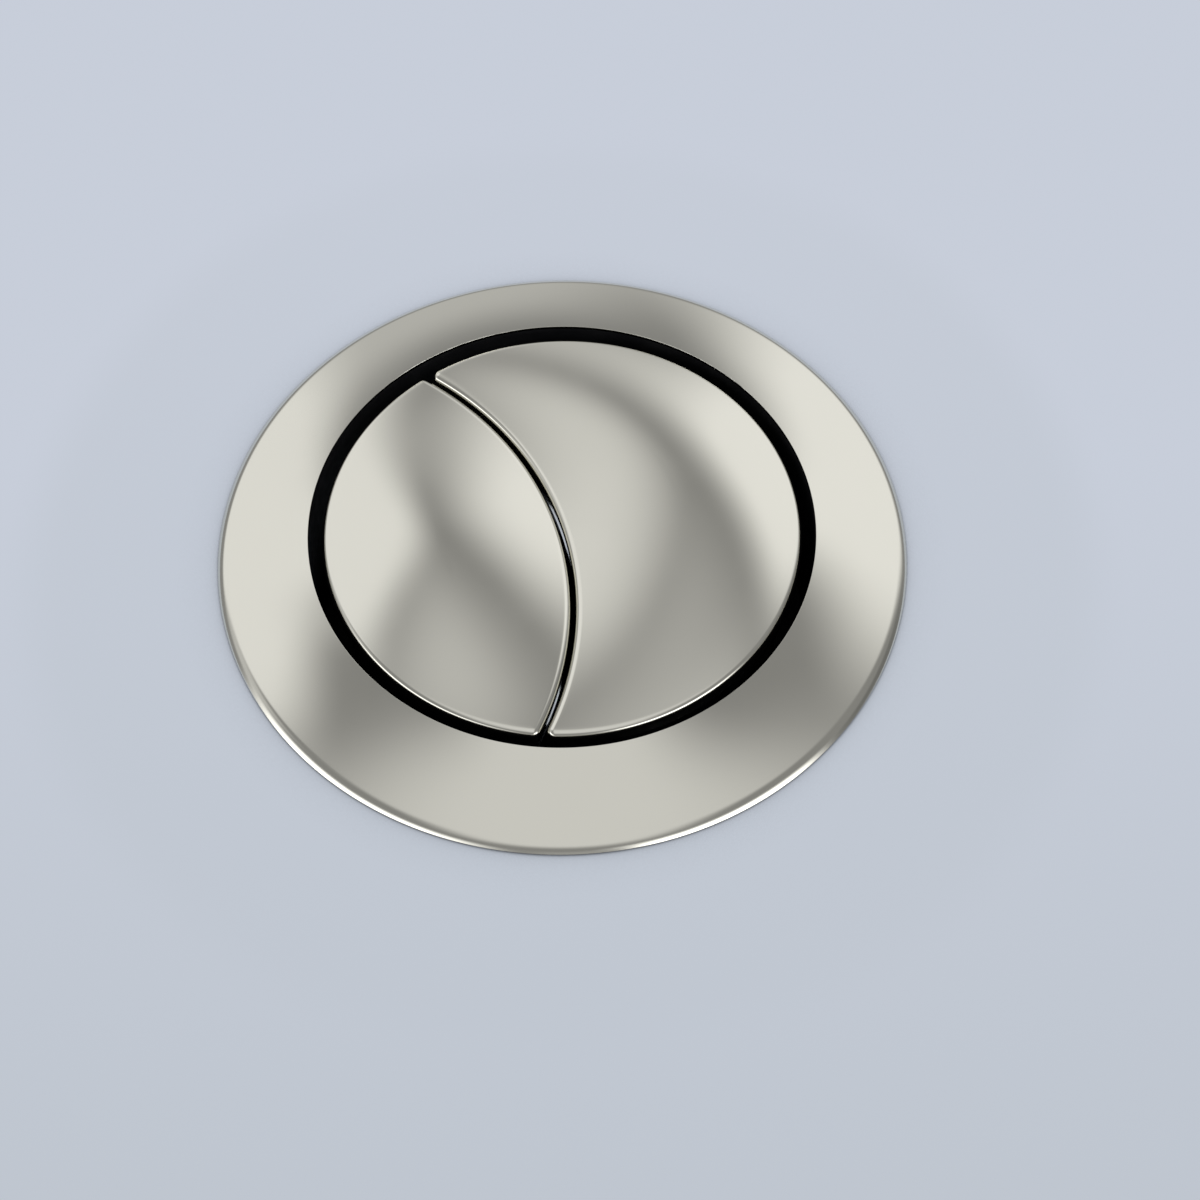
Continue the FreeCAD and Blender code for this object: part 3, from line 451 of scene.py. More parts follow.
def copies_tree():
    """Copies of one object at the points of another."""
    tree = NodeTree("Copies", Object=["Original"])
    original = tree.add("GeometryNodeObjectInfo", tree.input("Original")).outputs["Geometry"]
    points = tree.input("Geometry")
    return tree.close(tree.add("GeometryNodeInstanceOnPoints", points, inputs={"Instance": original}))


# Finishes


class Finish(Nodes):
    """A procedural material on Object coordinates round one Principled shader.

    A noise is given as its scale, in features per metre, its detail and any stretch along the axes.
    """

    def __init__(self, name, base, roughness, metallic=0.0, **sockets):
        self.material = bpy.data.materials.new(name)
        self.material.use_nodes = True
        super().__init__(self.material.node_tree)
        self.shader = self.group.nodes["Principled BSDF"]
        self.shader.inputs["Base Color"].default_value = (*base, 1)
        self.shader.inputs["Roughness"].default_value = roughness
        self.shader.inputs["Metallic"].default_value = metallic
        for key, value in sockets.items():
            self.shader.inputs[key.replace("_", " ").title().replace("Ior", "IOR")].default_value = value
        self.place = self.add("ShaderNodeTexCoord").outputs["Object"]

    def noise(self, scale, detail, stretch=None):
        where = self.place
        if stretch:
            where = self.add("ShaderNodeMapping", where, inputs={"Scale": stretch})
        return self.add("ShaderNodeTexNoise", where, scale, detail).outputs["Fac"]

    def spread(self, noise, low, high):
        """A noise, whose values lie between about 0.3 and 0.7, mapped to a range."""
        return self.add("ShaderNodeMapRange", self.noise(*noise), 0.3, 0.7, low, high)

    def vary_roughness(self, noise, low, high):
        self.plug(self.shader.inputs["Roughness"], self.spread(noise, low, high))

    def vary_colour(self, noise, first, second):
        mixed = self.mix(self.spread(noise, 0.0, 1.0), (*first, 1), (*second, 1))
        self.plug(self.shader.inputs["Base Color"], mixed)

    def bump(self, noise, strength, depth):
        """Fine relief, with its depth in metres."""
        relief = self.add("ShaderNodeBump", strength, depth, inputs={"Height": self.noise(*noise)})
        self.plug(self.shader.inputs["Normal"], relief)


def satin_nickel():
    base = tuple(settings().nickel_colour)
    rough = settings().nickel_roughness
    made = Finish("satin_nickel", base, rough, metallic=1.0)
    made.vary_roughness((160.0, 4.0), rough - 0.015, rough + 0.015)
    made.bump((9000.0, 2.0), 0.04, 0.00001)
    return made


def black_plastic():
    made = Finish("black_plastic", (0.004, 0.004, 0.0045), 0.5, specular_ior_level=0.12)
    made.vary_colour((220.0, 4.0), (0.003, 0.003, 0.0035), (0.0055, 0.0055, 0.006))
    made.vary_roughness((600.0, 4.0), 0.42, 0.58)
    made.bump((4200.0, 3.0), 0.35, 0.00003)
    return made


def gasket_rubber():
    made = Finish("gasket_rubber", (0.03, 0.03, 0.031), 0.8)
    made.vary_colour((350.0, 5.0), (0.022, 0.022, 0.023), (0.045, 0.044, 0.043))
    made.vary_roughness((900.0, 3.0), 0.7, 0.9)
    made.bump((3000.0, 4.0), 0.5, 0.00004)
    return made


def nut_plastic():
    made = Finish("nut_plastic", (0.74, 0.74, 0.72), 0.42, subsurface_weight=0.08, subsurface_scale=0.002)
    made.vary_colour((90.0, 4.0), (0.70, 0.70, 0.675), (0.78, 0.78, 0.765))
    made.vary_roughness((420.0, 4.0), 0.36, 0.5)
    made.bump((2600.0, 3.0), 0.25, 0.00003)
    return made


def rod_plastic():
    made = Finish("rod_plastic", (0.78, 0.78, 0.74), 0.36, subsurface_weight=0.12, subsurface_scale=0.002)
    made.vary_colour((140.0, 4.0), (0.74, 0.74, 0.695), (0.81, 0.81, 0.78))
    made.vary_roughness((700.0, 3.0), 0.3, 0.44)
    made.bump((3600.0, 2.0), 0.15, 0.00002)
    return made


def stainless_steel():
    made = Finish("stainless_steel", (0.60, 0.60, 0.59), 0.26, metallic=1.0)
    made.vary_roughness((2400.0, 3.0, (1.0, 1.0, 0.15)), 0.2, 0.34)
    made.bump((5200.0, 2.0), 0.12, 0.00001)
    return made


MAKERS = (satin_nickel, black_plastic, gasket_rubber, nut_plastic, rod_plastic, stainless_steel)
FINISHES = {}


def finish(name):
    """The material of a record slot, made on first use."""
    if name not in FINISHES:
        maker = next(maker for maker in MAKERS if maker.__name__ == name)
        FINISHES[name] = maker().material
    return FINISHES[name]


def dress(piece, body, slot_name, *nodes):
    """Gives a new piece its finish, its body and the CAD nodes that it stands for."""
    piece.data.materials.clear()
    piece.data.materials.append(finish(slot_name))
    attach(piece, body)
    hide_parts(*nodes)


# Bezel


class BezelPlan:
    """The bezel's section, as (radius, height) pairs."""

    def __init__(self):
        size = self.sizes = sizes()
        self.foot = (size.flange_radius, size.lid_gap)
        self.lip = (size.flange_radius - size.lip_width, size.lip_height)
        self.lip_centre = self.centre(self.foot, self.lip, size.lip_round)
        edge = (size.opening_radius, size.opening_height)
        self.flare_centre = self.centre(edge, self.lip, size.flare_radius)

    def centre(self, start, finish_point, radius):
        """Centre of an arc that turns left from one point to another."""
        start, way = Vector(start), Vector(finish_point) - Vector(start)
        normal = Vector((-way.y, way.x)).normalized()
        return tuple(start + way / 2 + normal * math.sqrt(radius**2 - way.length_squared / 4))

    def flare(self, radius, below=0.0):
        """Height of the flared face, or of a face parallel to it, at a radius."""
        reach = self.sizes.flare_radius + below
        return self.flare_centre[1] - math.sqrt(reach**2 - (radius - self.flare_centre[0]) ** 2)

    def turned(self, centre, radius, start, finish_point, count):
        """Points of an arc from one point to another."""
        ends = [math.degrees(math.atan2(p[1] - centre[1], p[0] - centre[0])) for p in (start, finish_point)]
        return arc(centre, radius, *ends, count)

    def profile(self, upright=0.3 * MM, steps=12):
        """The closed section: foot, lip, flare, the opening's edge, its upright face and the underside."""
        size, small = self.sizes, self.sizes.opening_edge
        inside, foot_inside = size.opening_radius + size.bezel_taper, size.flange_radius - size.foot_width
        top = (size.opening_radius + small, self.flare(size.opening_radius + small))
        points = [(foot_inside, size.lid_gap)]
        points += self.turned(self.lip_centre, size.lip_round, self.foot, self.lip, 20)
        points += self.turned(self.flare_centre, size.flare_radius, self.lip, top, 40)[1:]
        points += arc((top[0], top[1] - small), small, 90.0, 180.0, 3)[1:]
        points += [(size.opening_radius, size.opening_height - upright)]
        under = [inside + (foot_inside - inside) * n / steps for n in range(steps + 1)]
        return points + [(r, self.flare(r, size.bezel_wall)) for r in under]


class PUSHBUTTON_OT_bezel(Operator):
    """Make the flared satin nickel bezel with its crimp tabs"""

    bl_idname = "pushbutton.bezel"
    bl_label = "Bezel"

    def execute(self, context):
        size, overlap, tab_corner = sizes(), 0.5 * MM, 0.4 * MM
        bm = bmesh.new()
        lathe(bm, BezelPlan().profile(), 288)
        bezel = grown(
            finish_mesh(bm, "bezel_ring"),
            lug_tree(),
            count=6,
            inner_radius=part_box("housing")[1].x - overlap,
            outer_radius=size.flange_radius - size.foot_width / 2,
            width=size.tab_width,
            bottom=size.lid_gap,
            height=size.tab_thickness,
            corner_round=tab_corner,
            material=finish("satin_nickel"),
        )
        dress(bezel, "housing", "satin_nickel", "bezel")
        return {"FINISHED"}


# Caps


class CapPlan:
    """A button's outline and the height of its crown, at any distance inwards from its edge."""

    def __init__(self, side):
        size = sizes()
        self.side, self.sign = side, -1 if side == "half" else 1
        self.disc, self.place = size.button_radius, size.slot_arc_place
        self.slot = size.slot_arc_radius + self.sign * size.slot_width / 2
        self.corner, self.edge, self.rim = size.plan_corner, size.edge_round, size.rim_height
        self.crown = getattr(size, f"{side}_crown")
        self.peak = self.product(self.sign * getattr(size, f"{side}_crown_place"), 0.0)
        self.fullness = size.crown_fullness
        self.deepest = (self.disc + self.sign * (self.place - self.slot)) / 2

    def product(self, x, y):
        rim = self.disc**2 - x * x - y * y
        return rim * ((x + self.place) ** 2 + y * y - self.slot**2) * self.sign

    def top(self, x, y):
        """Height of the crown, before its edge is rounded."""
        share = self.product(x, y) / self.peak
        return self.rim + self.crown * share * (1 + self.fullness * (1 - share))

    def outline(self, inset):
        """Points of the outline moved inwards, each with its outward direction."""
        disc, slot = self.disc - inset, self.slot + self.sign * inset
        corner = max(self.corner - inset, 0.0)
        from_disc, from_slot = disc - corner, slot + self.sign * corner
        corner_x = (from_slot**2 - from_disc**2 - self.place**2) / (2 * self.place)
        corner_y = math.sqrt(max(from_disc**2 - corner_x**2, 0.0))
        disc_angle, slot_angle = math.atan2(corner_y, corner_x), math.atan2(corner_y, corner_x + self.place)
        on_disc, in_corner, on_slot = 168, 8, 132
        full_turn = 2 * math.pi
        points = []

        def run(centre, radius, start, finish_angle, count, outward):
            for n in range(count):
                angle = start + (finish_angle - start) * n / count
                x, y = math.cos(angle), math.sin(angle)
                points.append((centre[0] + radius * x, centre[1] + radius * y, outward * x, outward * y))

        if self.side == "half":
            run((0, 0), disc, disc_angle, full_turn - disc_angle, on_disc, 1)
            run((corner_x, -corner_y), corner, full_turn - disc_angle, full_turn - slot_angle, in_corner, 1)
            run((-self.place, 0), slot, -slot_angle, slot_angle, on_slot, 1)
            run((corner_x, corner_y), corner, slot_angle, disc_angle, in_corner, 1)
        else:
            run((0, 0), disc, -disc_angle, disc_angle, on_disc, 1)
            run((corner_x, corner_y), corner, disc_angle, slot_angle + math.pi, in_corner, 1)
            run((-self.place, 0), slot, slot_angle, -slot_angle, on_slot, -1)
            run((corner_x, -corner_y), corner, math.pi - slot_angle, full_turn - disc_angle, in_corner, 1)
        return points

    def edge_height(self, x, y, out_x, out_y, inset):
        """Height of the top face at a point, with a ball-shaped round between the crown and the skirt."""
        ball = self.edge
        if inset >= ball:
            return self.top(x, y)
        foot = (x + out_x * inset, y + out_y * inset)

        def along(depth):
            return self.top(foot[0] - out_x * depth, foot[1] - out_y * depth)

        slope = math.atan((along(ball) - along(0.6 * ball)) / (0.4 * ball))
        contact = ball * (1 - math.sin(slope))
        if inset >= contact:
            return self.top(x, y)
        centre = along(contact) - ball * math.cos(slope)
        return centre + math.sqrt(max(ball**2 - (ball - inset) ** 2, 0.0))


def cap_rings(plan):
    """Rings of a cap's closed shell: crown and round, skirt, and the face under the crown."""
    size, chamfer = sizes(), 0.1 * MM
    seat = size.rim_height - size.skirt_depth
    round_steps, crown_steps, under_steps = 12, 36, 12
    insets = [plan.edge * (1 - math.cos(math.pi / 2 * n / round_steps)) for n in range(round_steps + 1)]
    # The innermost ring stays a little short of the line where the two sides of the outline would meet.
    reach = plan.deepest * 0.98
    insets += [plan.edge + (reach - plan.edge) * n / crown_steps for n in range(1, crown_steps + 1)]
    rings = []
    for inset in reversed(insets):
        rings.append([(x, y, plan.edge_height(x, y, *out, inset)) for x, y, *out in plan.outline(inset)])
    for inset, height in ((0.0, seat + chamfer), (chamfer, seat), (size.cap_wall, seat)):
        rings.append([(x, y, height) for x, y, *_ in plan.outline(inset)])
    for n in range(under_steps + 1):
        inset = size.cap_wall + (reach - size.cap_wall) * n / under_steps
        rings.append([(x, y, plan.top(x, y) - size.cap_wall) for x, y, *_ in plan.outline(inset)])
    return rings


class PUSHBUTTON_OT_caps(Operator):
    """Make the two pillowed satin nickel caps with rounded edges, thin walls and screw bosses"""

    bl_idname = "pushbutton.caps"
    bl_label = "Caps"

    def execute(self, context):
        size = sizes()
        seat = size.rim_height - size.skirt_depth
        grip = seat + 2.0 * MM
        wall, bore, overlap = 2.55 * MM, CAP_SCREW[0], 0.3 * MM
        for side in SIDES:
            plan = CapPlan(side)
            bm = bmesh.new()
            add_stack(bm, cap_rings(plan))
            for x, y in cap_screw_spots(side):
                ceiling = plan.top(x, y) - size.cap_wall + overlap
                boss = [(bore, seat), (wall, seat), (wall, ceiling), (bore, ceiling), (bore, grip)]
                lathe(bm, boss, 32, (x, y))
            cap = finish_mesh(bm, f"{side}_cap_shell", sharp=40.0)
            dress(cap, f"{side}_button", "satin_nickel", f"{side}_cap")
        return {"FINISHED"}


# Housing and fixing nut


class PUSHBUTTON_OT_housing(Operator):
    """Make the black housing with its threaded shank, guide plate ledge and screw bosses"""

    bl_idname = "pushbutton.housing"
    bl_label = "Housing"

    def execute(self, context):
        size, bezel = sizes(), BezelPlan()
        low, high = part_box("housing")
        seat, bore, shank = high.x, size.bore_radius, size.shank_radius
        root, ledge = shank - size.shank_thread, bore - size.ledge_width
        thread_top, runout, thread_bottom = -1.6 * MM, 0.6 * MM, low.z + 1.2 * MM
        chamfer, nose_width, nose_height, clearance = 0.3 * MM, 0.4 * MM, 0.5 * MM, 0.15 * MM
        flange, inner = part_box("lid_gasket")[1].z, size.opening_radius + size.bezel_taper
        head = [
            (root, thread_top),
            (shank, thread_top + runout),
            (shank, flange),
            (seat, flange),
            (seat, bezel.flare(seat, size.bezel_wall) - clearance),
            (inner, bezel.flare(inner, size.bezel_wall) - clearance),
            (bore, high.z),
            (bore, size.ledge_top),
            (ledge, size.ledge_top),
            (ledge, size.plate_top),
            (bore, size.plate_top),
            (bore, low.z + chamfer),
            (bore + chamfer, low.z),
            (root - nose_width, low.z),
            (root, low.z + nose_height),
            (root, thread_bottom),
        ]
        bm = bmesh.new()
        add_grid(bm, lathe_rings(head, 144))
        housing = grown(
            plain_object(bm, "housing_shell"),
            thread_tree(),
            root_radius=root,
            crest_radius=shank,
            pitch=size.shank_pitch,
            bottom=thread_bottom,
            top=thread_top,
            segments=144,
            material=finish("black_plastic"),
        )
        hole, wall = PLATE_SCREW[0], 3.2 * MM
        hole_top, boss_top = size.plate_top + 4.25 * MM, size.plate_top + 5.0 * MM
        boss = [(0, hole_top), (hole, hole_top), (hole, size.plate_top), (wall, size.plate_top)]
        boss += [(wall, boss_top - chamfer), (wall - chamfer, boss_top), (0, boss_top)]
        bm = bmesh.new()
        bm.from_mesh(housing.data)
        for spot in plate_screw_spots():
            spindle(bm, boss, 32, spot)
        bmesh.ops.recalc_face_normals(bm, faces=bm.faces)
        bm.to_mesh(housing.data)
        bm.free()
        dress(housing, "housing", "black_plastic", "housing")
        return {"FINISHED"}


class PUSHBUTTON_OT_fixing_nut(Operator):
    """Make the off-white fixing nut with rounded grip lugs"""

    bl_idname = "pushbutton.fixing_nut"
    bl_label = "Fixing nut"

    def execute(self, context):
        low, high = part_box("fixing_nut")
        bore, wall, shelf, chamfer = 29.5 * MM, 33.2 * MM, high.z - 2.5 * MM, 0.8 * MM
        lug_root, lug_width, lug_drop, lug_corner = 1.9 * MM, 5.0 * MM, 1.25 * MM, 0.9 * MM
        corners = [
            (bore, low.z + chamfer),
            (bore + chamfer, low.z),
            (wall, low.z),
            (wall, shelf),
            (high.x, shelf),
            (high.x, high.z),
            (bore + chamfer, high.z),
            (bore, high.z - chamfer),
        ]
        bm = bmesh.new()
        lathe(bm, rounded(corners, {2: 0.5 * MM, 3: 0.6 * MM, 4: 0.5 * MM, 5: 0.4 * MM}), 144)
        nut = grown(
            finish_mesh(bm, "fixing_nut_body"),
            lug_tree(),
            count=8,
            inner_radius=wall - lug_root,
            outer_radius=high.x,
            width=lug_width,
            bottom=low.z,
            height=high.z - lug_drop - low.z,
            corner_round=lug_corner,
            material=finish("nut_plastic"),
        )
        dress(nut, "housing", "nut_plastic", "fixing_nut")
        return {"FINISHED"}


# Rods, jam nuts and feet


class PUSHBUTTON_OT_rods(Operator):
    """Make the threaded rods, their chamfered jam nuts and their feet"""

    bl_idname = "pushbutton.rods"
    bl_label = "Rods"

    def execute(self, context):
        thread, root_depth = thread_tree(), sizes().rod_thread
        tip, taper, plain = 1.7 * MM, 0.5 * MM, 0.7 * MM
        for side in SIDES:
            low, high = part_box(f"{side}_rod")
            x, crest = (low.x + high.x) / 2, high.y
            root = crest - root_depth
            bm = bmesh.new()
            for end, inwards in ((low.z, 1), (high.z, -1)):
                profile = [(tip, end), (root, end + inwards * taper), (root, end + inwards * plain)]
                rows = add_grid(bm, lathe_rings(profile, 28, (x, 0)))
                bm.faces.new(rows[0])
            rod = grown(
                plain_object(bm, f"{side}_threaded_rod"),
                thread,
                root_radius=root,
                crest_radius=crest,
                pitch=sizes().rod_pitch,
                bottom=low.z + plain,
                top=high.z - plain,
                segments=28,
                place=(x, 0, 0),
                material=finish("rod_plastic"),
            )
            dress(rod, f"{side}_button", "rod_plastic", f"{side}_rod")
            self.jam_nut(side, x)
            self.foot(side, x)
        return {"FINISHED"}

    def jam_nut(self, side, x, segments=96, layers=16, face=0.985):
        """A hexagon with its corners turned off by cones. An end's radius is this share of the flats'."""
        low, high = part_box(f"{side}_jam_nut")
        flat, bore, sink, cone = high.y, sizes().rod_hole, 0.35 * MM, math.tan(math.radians(60))
        rings = []
        for z in [low.z + (high.z - low.z) * n / layers for n in range(layers + 1)]:
            depth = min(z - low.z, high.z - z)
            ring = []
            for n in range(segments):
                turn = 2 * math.pi * n / segments
                across = (turn % (math.pi / 3)) - math.pi / 6
                radius = min(flat / math.cos(across), flat * face + depth * cone)
                ring.append((x + radius * math.cos(turn), radius * math.sin(turn), z))
            rings.append(ring)
        hole = [(bore + sink, high.z), (bore, high.z - sink), (bore, low.z + sink), (bore + sink, low.z)]
        bm = bmesh.new()
        add_grid(bm, rings + lathe_rings(hole, segments, (x, 0)), close_rings=True)
        nut = finish_mesh(bm, f"{side}_hex_nut", sharp=25.0)
        dress(nut, f"{side}_button", "rod_plastic", f"{side}_jam_nut")

    def foot(self, side, x):
        """A turned foot that caps the rod's lower end."""
        low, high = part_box(f"{side}_rod_foot")
        wide, neck, bore, sole = high.y, 3.8 * MM, sizes().rod_hole, low.z + 2.5 * MM
        corners = [(0, low.z), (wide, low.z), (wide, sole), (neck, high.z)]
        corners += [(bore, high.z), (bore, sole), (0, sole)]
        profile = rounded(corners, {1: 0.6 * MM, 2: 0.7 * MM, 3: 0.35 * MM, 4: 0.2 * MM}, 6)
        bm = bmesh.new()
        spindle(bm, profile, 64, (x, 0))
        foot = finish_mesh(bm, f"{side}_foot")
        dress(foot, f"{side}_button", "rod_plastic", f"{side}_rod_foot")


# Springs


class PUSHBUTTON_OT_springs(Operator):
    """Coil the two return springs, with closed end turns"""

    bl_idname = "pushbutton.springs"
    bl_label = "Springs"

    def execute(self, context):
        tree, wire, slack = coil_tree(), sizes().spring_wire, 0.1 * MM
        for side in SIDES:
            low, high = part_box(f"{side}_spring")
            x, tall = (low.x + high.x) / 2, high.z - low.z
            spring = grown(
                new_object(f"{side}_coil_spring", bpy.data.meshes.new("spring")),
                tree,
                radius=(high.x - low.x) / 2 - wire,
                wire_radius=wire,
                turns=sizes().spring_turns,
                height=tall - 2 * wire,
                end_pitch=2 * wire + slack,
                place=(x, 0, low.z + wire),
                material=finish("stainless_steel"),
            )
            dress(spring, f"{side}_button", "stainless_steel", f"{side}_spring")
            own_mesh(spring)
        return {"FINISHED"}


# Screws


def screw_mesh(radius, head_radius, head_height, grip, segments=32):
    """A pan head screw with a cross recess below and its shank up, with its head's top face at the origin."""
    bm = bmesh.new()
    profile = [(radius * 0.35, grip), (radius * 0.8, grip - radius * 0.5), (radius, grip - radius * 0.9)]
    brim, flat_share, side_share = 0.1 * MM, 0.55, 0.5
    profile += [(radius, 0), (head_radius - brim, 0), (head_radius, -brim)]
    for c, y in arc((0, 0), 1.0, 0, 90, 6):
        across, down = flat_share + (1 - flat_share) * c, side_share + (1 - side_share) * y
        profile.append((head_radius * across, -head_height * down))
    rows = add_grid(bm, lathe_rings(profile, segments))
    bm.faces.new(rows[0])
    rim, floor = rows[-1], rows[-1][0].co.z
    arm, half, taper, depth = head_radius * 0.5, head_radius * 0.13, 0.7, head_height * 0.6
    cross = []
    for n in range(4):
        turn = Matrix.Rotation(math.pi / 2 * n, 2)
        cross += [turn @ Vector(corner) for corner in ((arm, -half), (arm, half), (half, half))]
    rings = [[(x, y, floor) for x, y in cross], [(x * taper, y * taper, floor + depth) for x, y in cross]]
    face, deep = add_grid(bm, rings)
    bm.faces.new(deep)
    edges = [bm.edges.get((row[n - 1], row[n])) for row in (rim, face) for n in range(len(row))]
    bmesh.ops.triangle_fill(bm, edges=edges, use_beauty=True)
    return finish_mesh(bm, "screw", sharp=35.0)


class PUSHBUTTON_OT_screws(Operator):
    """Set the cross-recessed screws that hold the caps and the guide plate"""

    bl_idname = "pushbutton.screws"
    bl_label = "Screws"

    def execute(self, context):
        tree = copies_tree()
        self.place(tree, "guide_plate", "housing", plate_screw_spots(), PLATE_SCREW)
        for side in SIDES:
            self.place(tree, f"{side}_cap", f"{side}_button", cap_screw_spots(side), CAP_SCREW)
        return {"FINISHED"}

    def place(self, tree, owner, body, spots, screw):
        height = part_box(f"{owner}_screws")[0].z + screw[2]
        original = screw_mesh(*screw)
        mesh = bpy.data.meshes.new("places")
        mesh.from_pydata([(x, y, height) for x, y in spots], [], [])
        places = new_object(f"{owner}_screw_set", mesh)
        screws = grown(places, tree, sharp=35.0, original=original, material=finish("stainless_steel"))
        bpy.data.objects.remove(original)
        dress(screws, body, "stainless_steel", f"{owner}_screws")


# Kept CAD pieces


class PUSHBUTTON_OT_finishes(Operator):
    """Give the CAD pieces that are shown as they are their finishes"""

    bl_idname = "pushbutton.finishes"
    bl_label = "Finishes"

    def execute(self, context):
        kept = {
            "lid_gasket": "gasket_rubber",
            "friction_washer": "gasket_rubber",
            "guide_plate": "black_plastic",
            "half_carrier": "black_plastic",
            "full_carrier": "black_plastic",
            "half_stem_clip": "stainless_steel",
            "full_stem_clip": "stainless_steel",
        }
        for name, slot_name in kept.items():
            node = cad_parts[name]
            node.data.materials.clear()
            node.data.materials.append(finish(slot_name))
        return {"FINISHED"}


# Stage

# Soft panels and dark flags that the metal mirrors, squares with round corners. Each has its direction, from
# the side away from the camera, and its elevation, both in degrees. Half its width and height follow, as
# shares of its distance, then its turn in degrees, how soft its edge is and its level. A later one lies in
# front of those before it.
REFLECTED = (
    ("ceiling_panel", 0, 90, 0.36, 0.36, 30, 0.5, 0.65),
    ("far_panel", -14, 27, 0.34, 0.26, -15, 0.5, 0.6),
    ("near_panel", 180, 75, 0.35, 0.4, 0, 0.5, 0.8),
    ("left_window", -44, 40, 0.34, 0.36, -5, 0.25, 0.98),
    ("right_window", 34, 34, 0.36, 0.34, 10, 0.4, 1.05),
    ("left_spill", -80, 30, 0.2, 0.2, 0, 0.6, 0.65),
    ("low_left_box", -125, 5, 0.5, 0.35, 0, 0.4, 2.2),
    ("low_right_box", 138, 5, 0.4, 0.4, 0, 0.4, 3.0),
    ("low_side_flag", 85, 10, 0.3, 0.2, 0, 0.5, 0.2),
    ("low_camera_flag", 175, 15, 0.2, 0.2, 0, 0.5, 0.4),
)
STUDIO_LEVEL = 0.3
CAMERA_PLACE = (-0.03766, -0.14392, 0.22263)
CAMERA_TILT = 32.5

# How far the camera stands round the object, in degrees. The table's painted shading and the panels turn with
# it.
TABLE_TURN = 16.24

# The table's painted shading, darker in front and lighter at the back, runs between these distances from
# front to back, which also rise with height by this share.
SHADING_FROM, SHADING_TO, SHADING_RISE = -0.075, 0.085, 0.35

# How far the soft shadow under the rim reaches, and how deep it is
SHADOW_REACH, SHADOW_DEPTH = 0.005, 1.6

# The lid patch fades out between these radii.
FADE_FROM, FADE_TO = 0.054, 0.062


def studio_world(world):
    """The studio as a world: a plain pale one for the camera, and panels and flags for everything else."""
    world.use_nodes = True
    world.node_tree.nodes.clear()
    tree = Nodes(world.node_tree)
    way = tree.add("ShaderNodeTexCoord").outputs["Generated"]
    current = tree.add("ShaderNodeCombineColor", STUDIO_LEVEL, STUDIO_LEVEL, STUDIO_LEVEL)
    for name, azimuth, elevation, width, height, twist, softness, level in REFLECTED:
        turn, lift, roll = (math.radians(a) for a in (azimuth + TABLE_TURN, elevation, twist))
        towards = Vector((math.sin(turn) * math.cos(lift), math.cos(turn) * math.cos(lift), math.sin(lift)))
        across = Vector((math.cos(turn), -math.sin(turn), 0.0))
        upwards = across.cross(towards)
        first = across * math.cos(roll) + upwards * math.sin(roll)
        second = upwards * math.cos(roll) - across * math.sin(roll)
        facing = Matrix((first, second, -towards)).transposed().to_euler()
        spread = (width, height, 1.0)
        hung = tree.add("ShaderNodeMapping", way, towards, facing, spread, vector_type="TEXTURE", label=name)
        squares = tree.add("ShaderNodeVectorMath", hung, hung, operation="MULTIPLY")
        away = tree.math("SQRT", tree.add("ShaderNodeVectorMath", squares, operation="LENGTH"))
        share = tree.fading(away, 1 + softness, 1 - softness)
        current = tree.mix(share, current, (level, level, level, 1))
    studio = tree.add("ShaderNodeBackground", current)
    plain = tree.add("ShaderNodeBackground", (*settings().far_colour, 1))
    seen = tree.add("ShaderNodeLightPath").outputs["Is Camera Ray"]
    tree.add("ShaderNodeOutputWorld", tree.add("ShaderNodeMixShader", seen, studio, plain))


def surface_material(name, fades):
    """The pale table top. The camera and the metal see its glowing colour, with painted shading from darker
    in front to lighter at the back, and the button's soft shadow painted in from ambient occlusion.
    """
    material = bpy.data.materials.new(name)
    material.use_nodes = True
    material.node_tree.nodes.clear()
    tree = Nodes(material.node_tree)
    place = tree.add("ShaderNodeTexCoord").outputs["Object"]
    # Painted shading: the colour runs from the darker lid colour in front to the lighter far colour at the
    # back.
    turn = math.radians(TABLE_TURN)
    backwards = (math.sin(turn), math.cos(turn), SHADING_RISE)
    depth = tree.add("ShaderNodeVectorMath", place, backwards, operation="DOT_PRODUCT")
    share = tree.add("ShaderNodeMapRange", depth, SHADING_FROM, SHADING_TO)
    painted_shading = tree.mix(share, (*settings().lid_colour, 1), (*settings().far_colour, 1))
    # Painted shadow: the glow is darkened by ambient occlusion under the rim.
    shade = tree.add("ShaderNodeAmbientOcclusion", None, SHADOW_REACH, samples=4)
    glow = tree.add("ShaderNodeEmission", painted_shading, tree.math("POWER", shade.outputs["AO"], SHADOW_DEPTH))
    matt = tree.add("ShaderNodeBsdfDiffuse", painted_shading)
    path = tree.add("ShaderNodeLightPath").outputs
    mirrored = tree.math("MAXIMUM", path["Is Glossy Ray"], path["Is Transmission Ray"])
    seen = tree.math("MAXIMUM", path["Is Camera Ray"], mirrored)
    result = tree.add("ShaderNodeMixShader", seen, matt, glow)
    if fades:
        flat = tree.add("ShaderNodeVectorMath", place, operation="LENGTH")
        below = tree.add("ShaderNodeNewGeometry").outputs["Backfacing"]
        gone = tree.math("MAXIMUM", tree.fading(flat, FADE_FROM, FADE_TO), below)
        result = tree.add("ShaderNodeMixShader", gone, result, tree.add("ShaderNodeBsdfTransparent"))
    tree.add("ShaderNodeOutputMaterial", result)
    return material


def stage_disc(name, inner, outer, height, fades):
    """A flat ring or disc of the stage, with its faces up."""
    bm = bmesh.new()
    rows = add_grid(bm, lathe_rings([(max(inner, POLE), height), (outer, height)], 96))
    if inner <= 0:
        bm.faces.new(rows[0])
    bmesh.ops.recalc_face_normals(bm, faces=bm.faces)
    for face in bm.faces:
        if face.normal.z < 0:
            face.normal_flip()
    disc = plain_object(bm, name)
    disc.data.materials.append(surface_material(name, fades))
    return disc


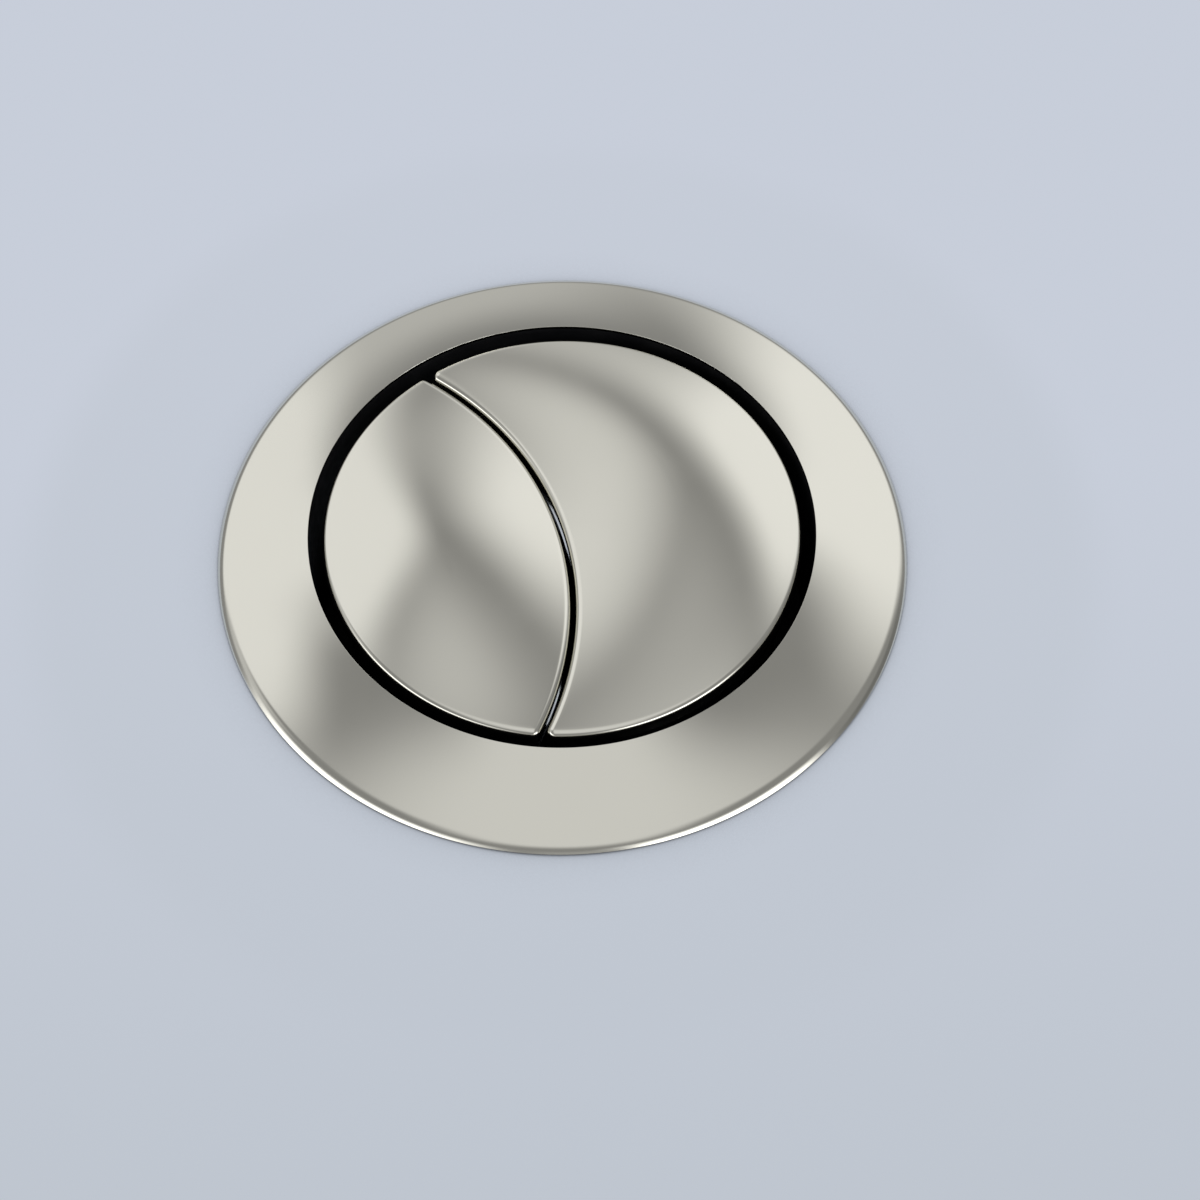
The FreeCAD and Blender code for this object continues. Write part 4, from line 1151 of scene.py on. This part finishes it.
class PUSHBUTTON_OT_stage(Operator):
    """Set the camera, the pale lid and table, the lamps and the studio round them"""

    bl_idname = "pushbutton.stage"
    bl_label = "Stage"

    def execute(self, context):
        scene = context.scene
        scene.view_settings.view_transform = "Standard"
        lens = bpy.data.cameras.new("camera")
        lens.lens, lens.sensor_width = settings().focal_length, 36.0
        lens.clip_start, lens.clip_end = 0.01, 10.0
        camera = new_object("camera", lens)
        camera.location = CAMERA_PLACE
        camera.rotation_euler = (math.radians(CAMERA_TILT), 0, math.radians(-TABLE_TURN))
        scene.camera = camera
        lid_hole, lid_reach, just_below = 29.6 * MM, 64 * MM, -0.02 * MM
        patch = stage_disc("lid_patch", lid_hole, lid_reach, just_below, fades=True)
        patch.visible_shadow = False
        stage_disc("table", 0.0, 3.0, -0.2, fades=False)
        if scene.world is None:
            scene.world = bpy.data.worlds.new("studio")
        studio_world(scene.world)
        self.lamp("left_lamp", (-0.55, -0.35, 0.5), 0.35, 3.0)
        self.lamp("right_lamp", (0.45, -0.45, 0.6), 0.3, 2.5)
        return {"FINISHED"}

    def lamp(self, name, place, width, power):
        light = bpy.data.lights.new(name, "AREA")
        light.shape, light.size, light.energy = "DISK", width, power
        lamp = new_object(name, light)
        lamp.location = place
        lamp.visible_glossy = False
        lamp.rotation_euler = (-Vector(place)).to_track_quat("-Z", "Y").to_euler()


OPERATORS = (
    PUSHBUTTON_OT_bezel,
    PUSHBUTTON_OT_caps,
    PUSHBUTTON_OT_housing,
    PUSHBUTTON_OT_fixing_nut,
    PUSHBUTTON_OT_rods,
    PUSHBUTTON_OT_springs,
    PUSHBUTTON_OT_screws,
    PUSHBUTTON_OT_finishes,
    PUSHBUTTON_OT_stage,
)


class PUSHBUTTON_PT_panel(Panel):
    """Lists the sizes and the pieces"""

    bl_label = "Pushbutton"
    bl_idname = "PUSHBUTTON_PT_panel"
    bl_space_type = "VIEW_3D"
    bl_region_type = "UI"
    bl_category = "Pushbutton"

    def draw(self, context):
        for group in (context.scene.pushbutton_sizes, context.scene.pushbutton_stage):
            column = self.layout.column()
            for key in group.__annotations__:
                column.prop(group, key)
        for operator in OPERATORS:
            self.layout.operator(operator.bl_idname)


CLASSES = (ButtonSizes, StageSettings, *OPERATORS, PUSHBUTTON_PT_panel)


def register():
    for cls in CLASSES:
        bpy.utils.register_class(cls)
    bpy.types.Scene.pushbutton_sizes = PointerProperty(type=ButtonSizes)
    bpy.types.Scene.pushbutton_stage = PointerProperty(type=StageSettings)


def unregister():
    del bpy.types.Scene.pushbutton_stage
    del bpy.types.Scene.pushbutton_sizes
    for cls in reversed(CLASSES):
        bpy.utils.unregister_class(cls)


def main():
    register()
    for operator in OPERATORS:
        group, name = operator.bl_idname.split(".")
        getattr(getattr(bpy.ops, group), name)()


if __name__ == "__main__":
    main()
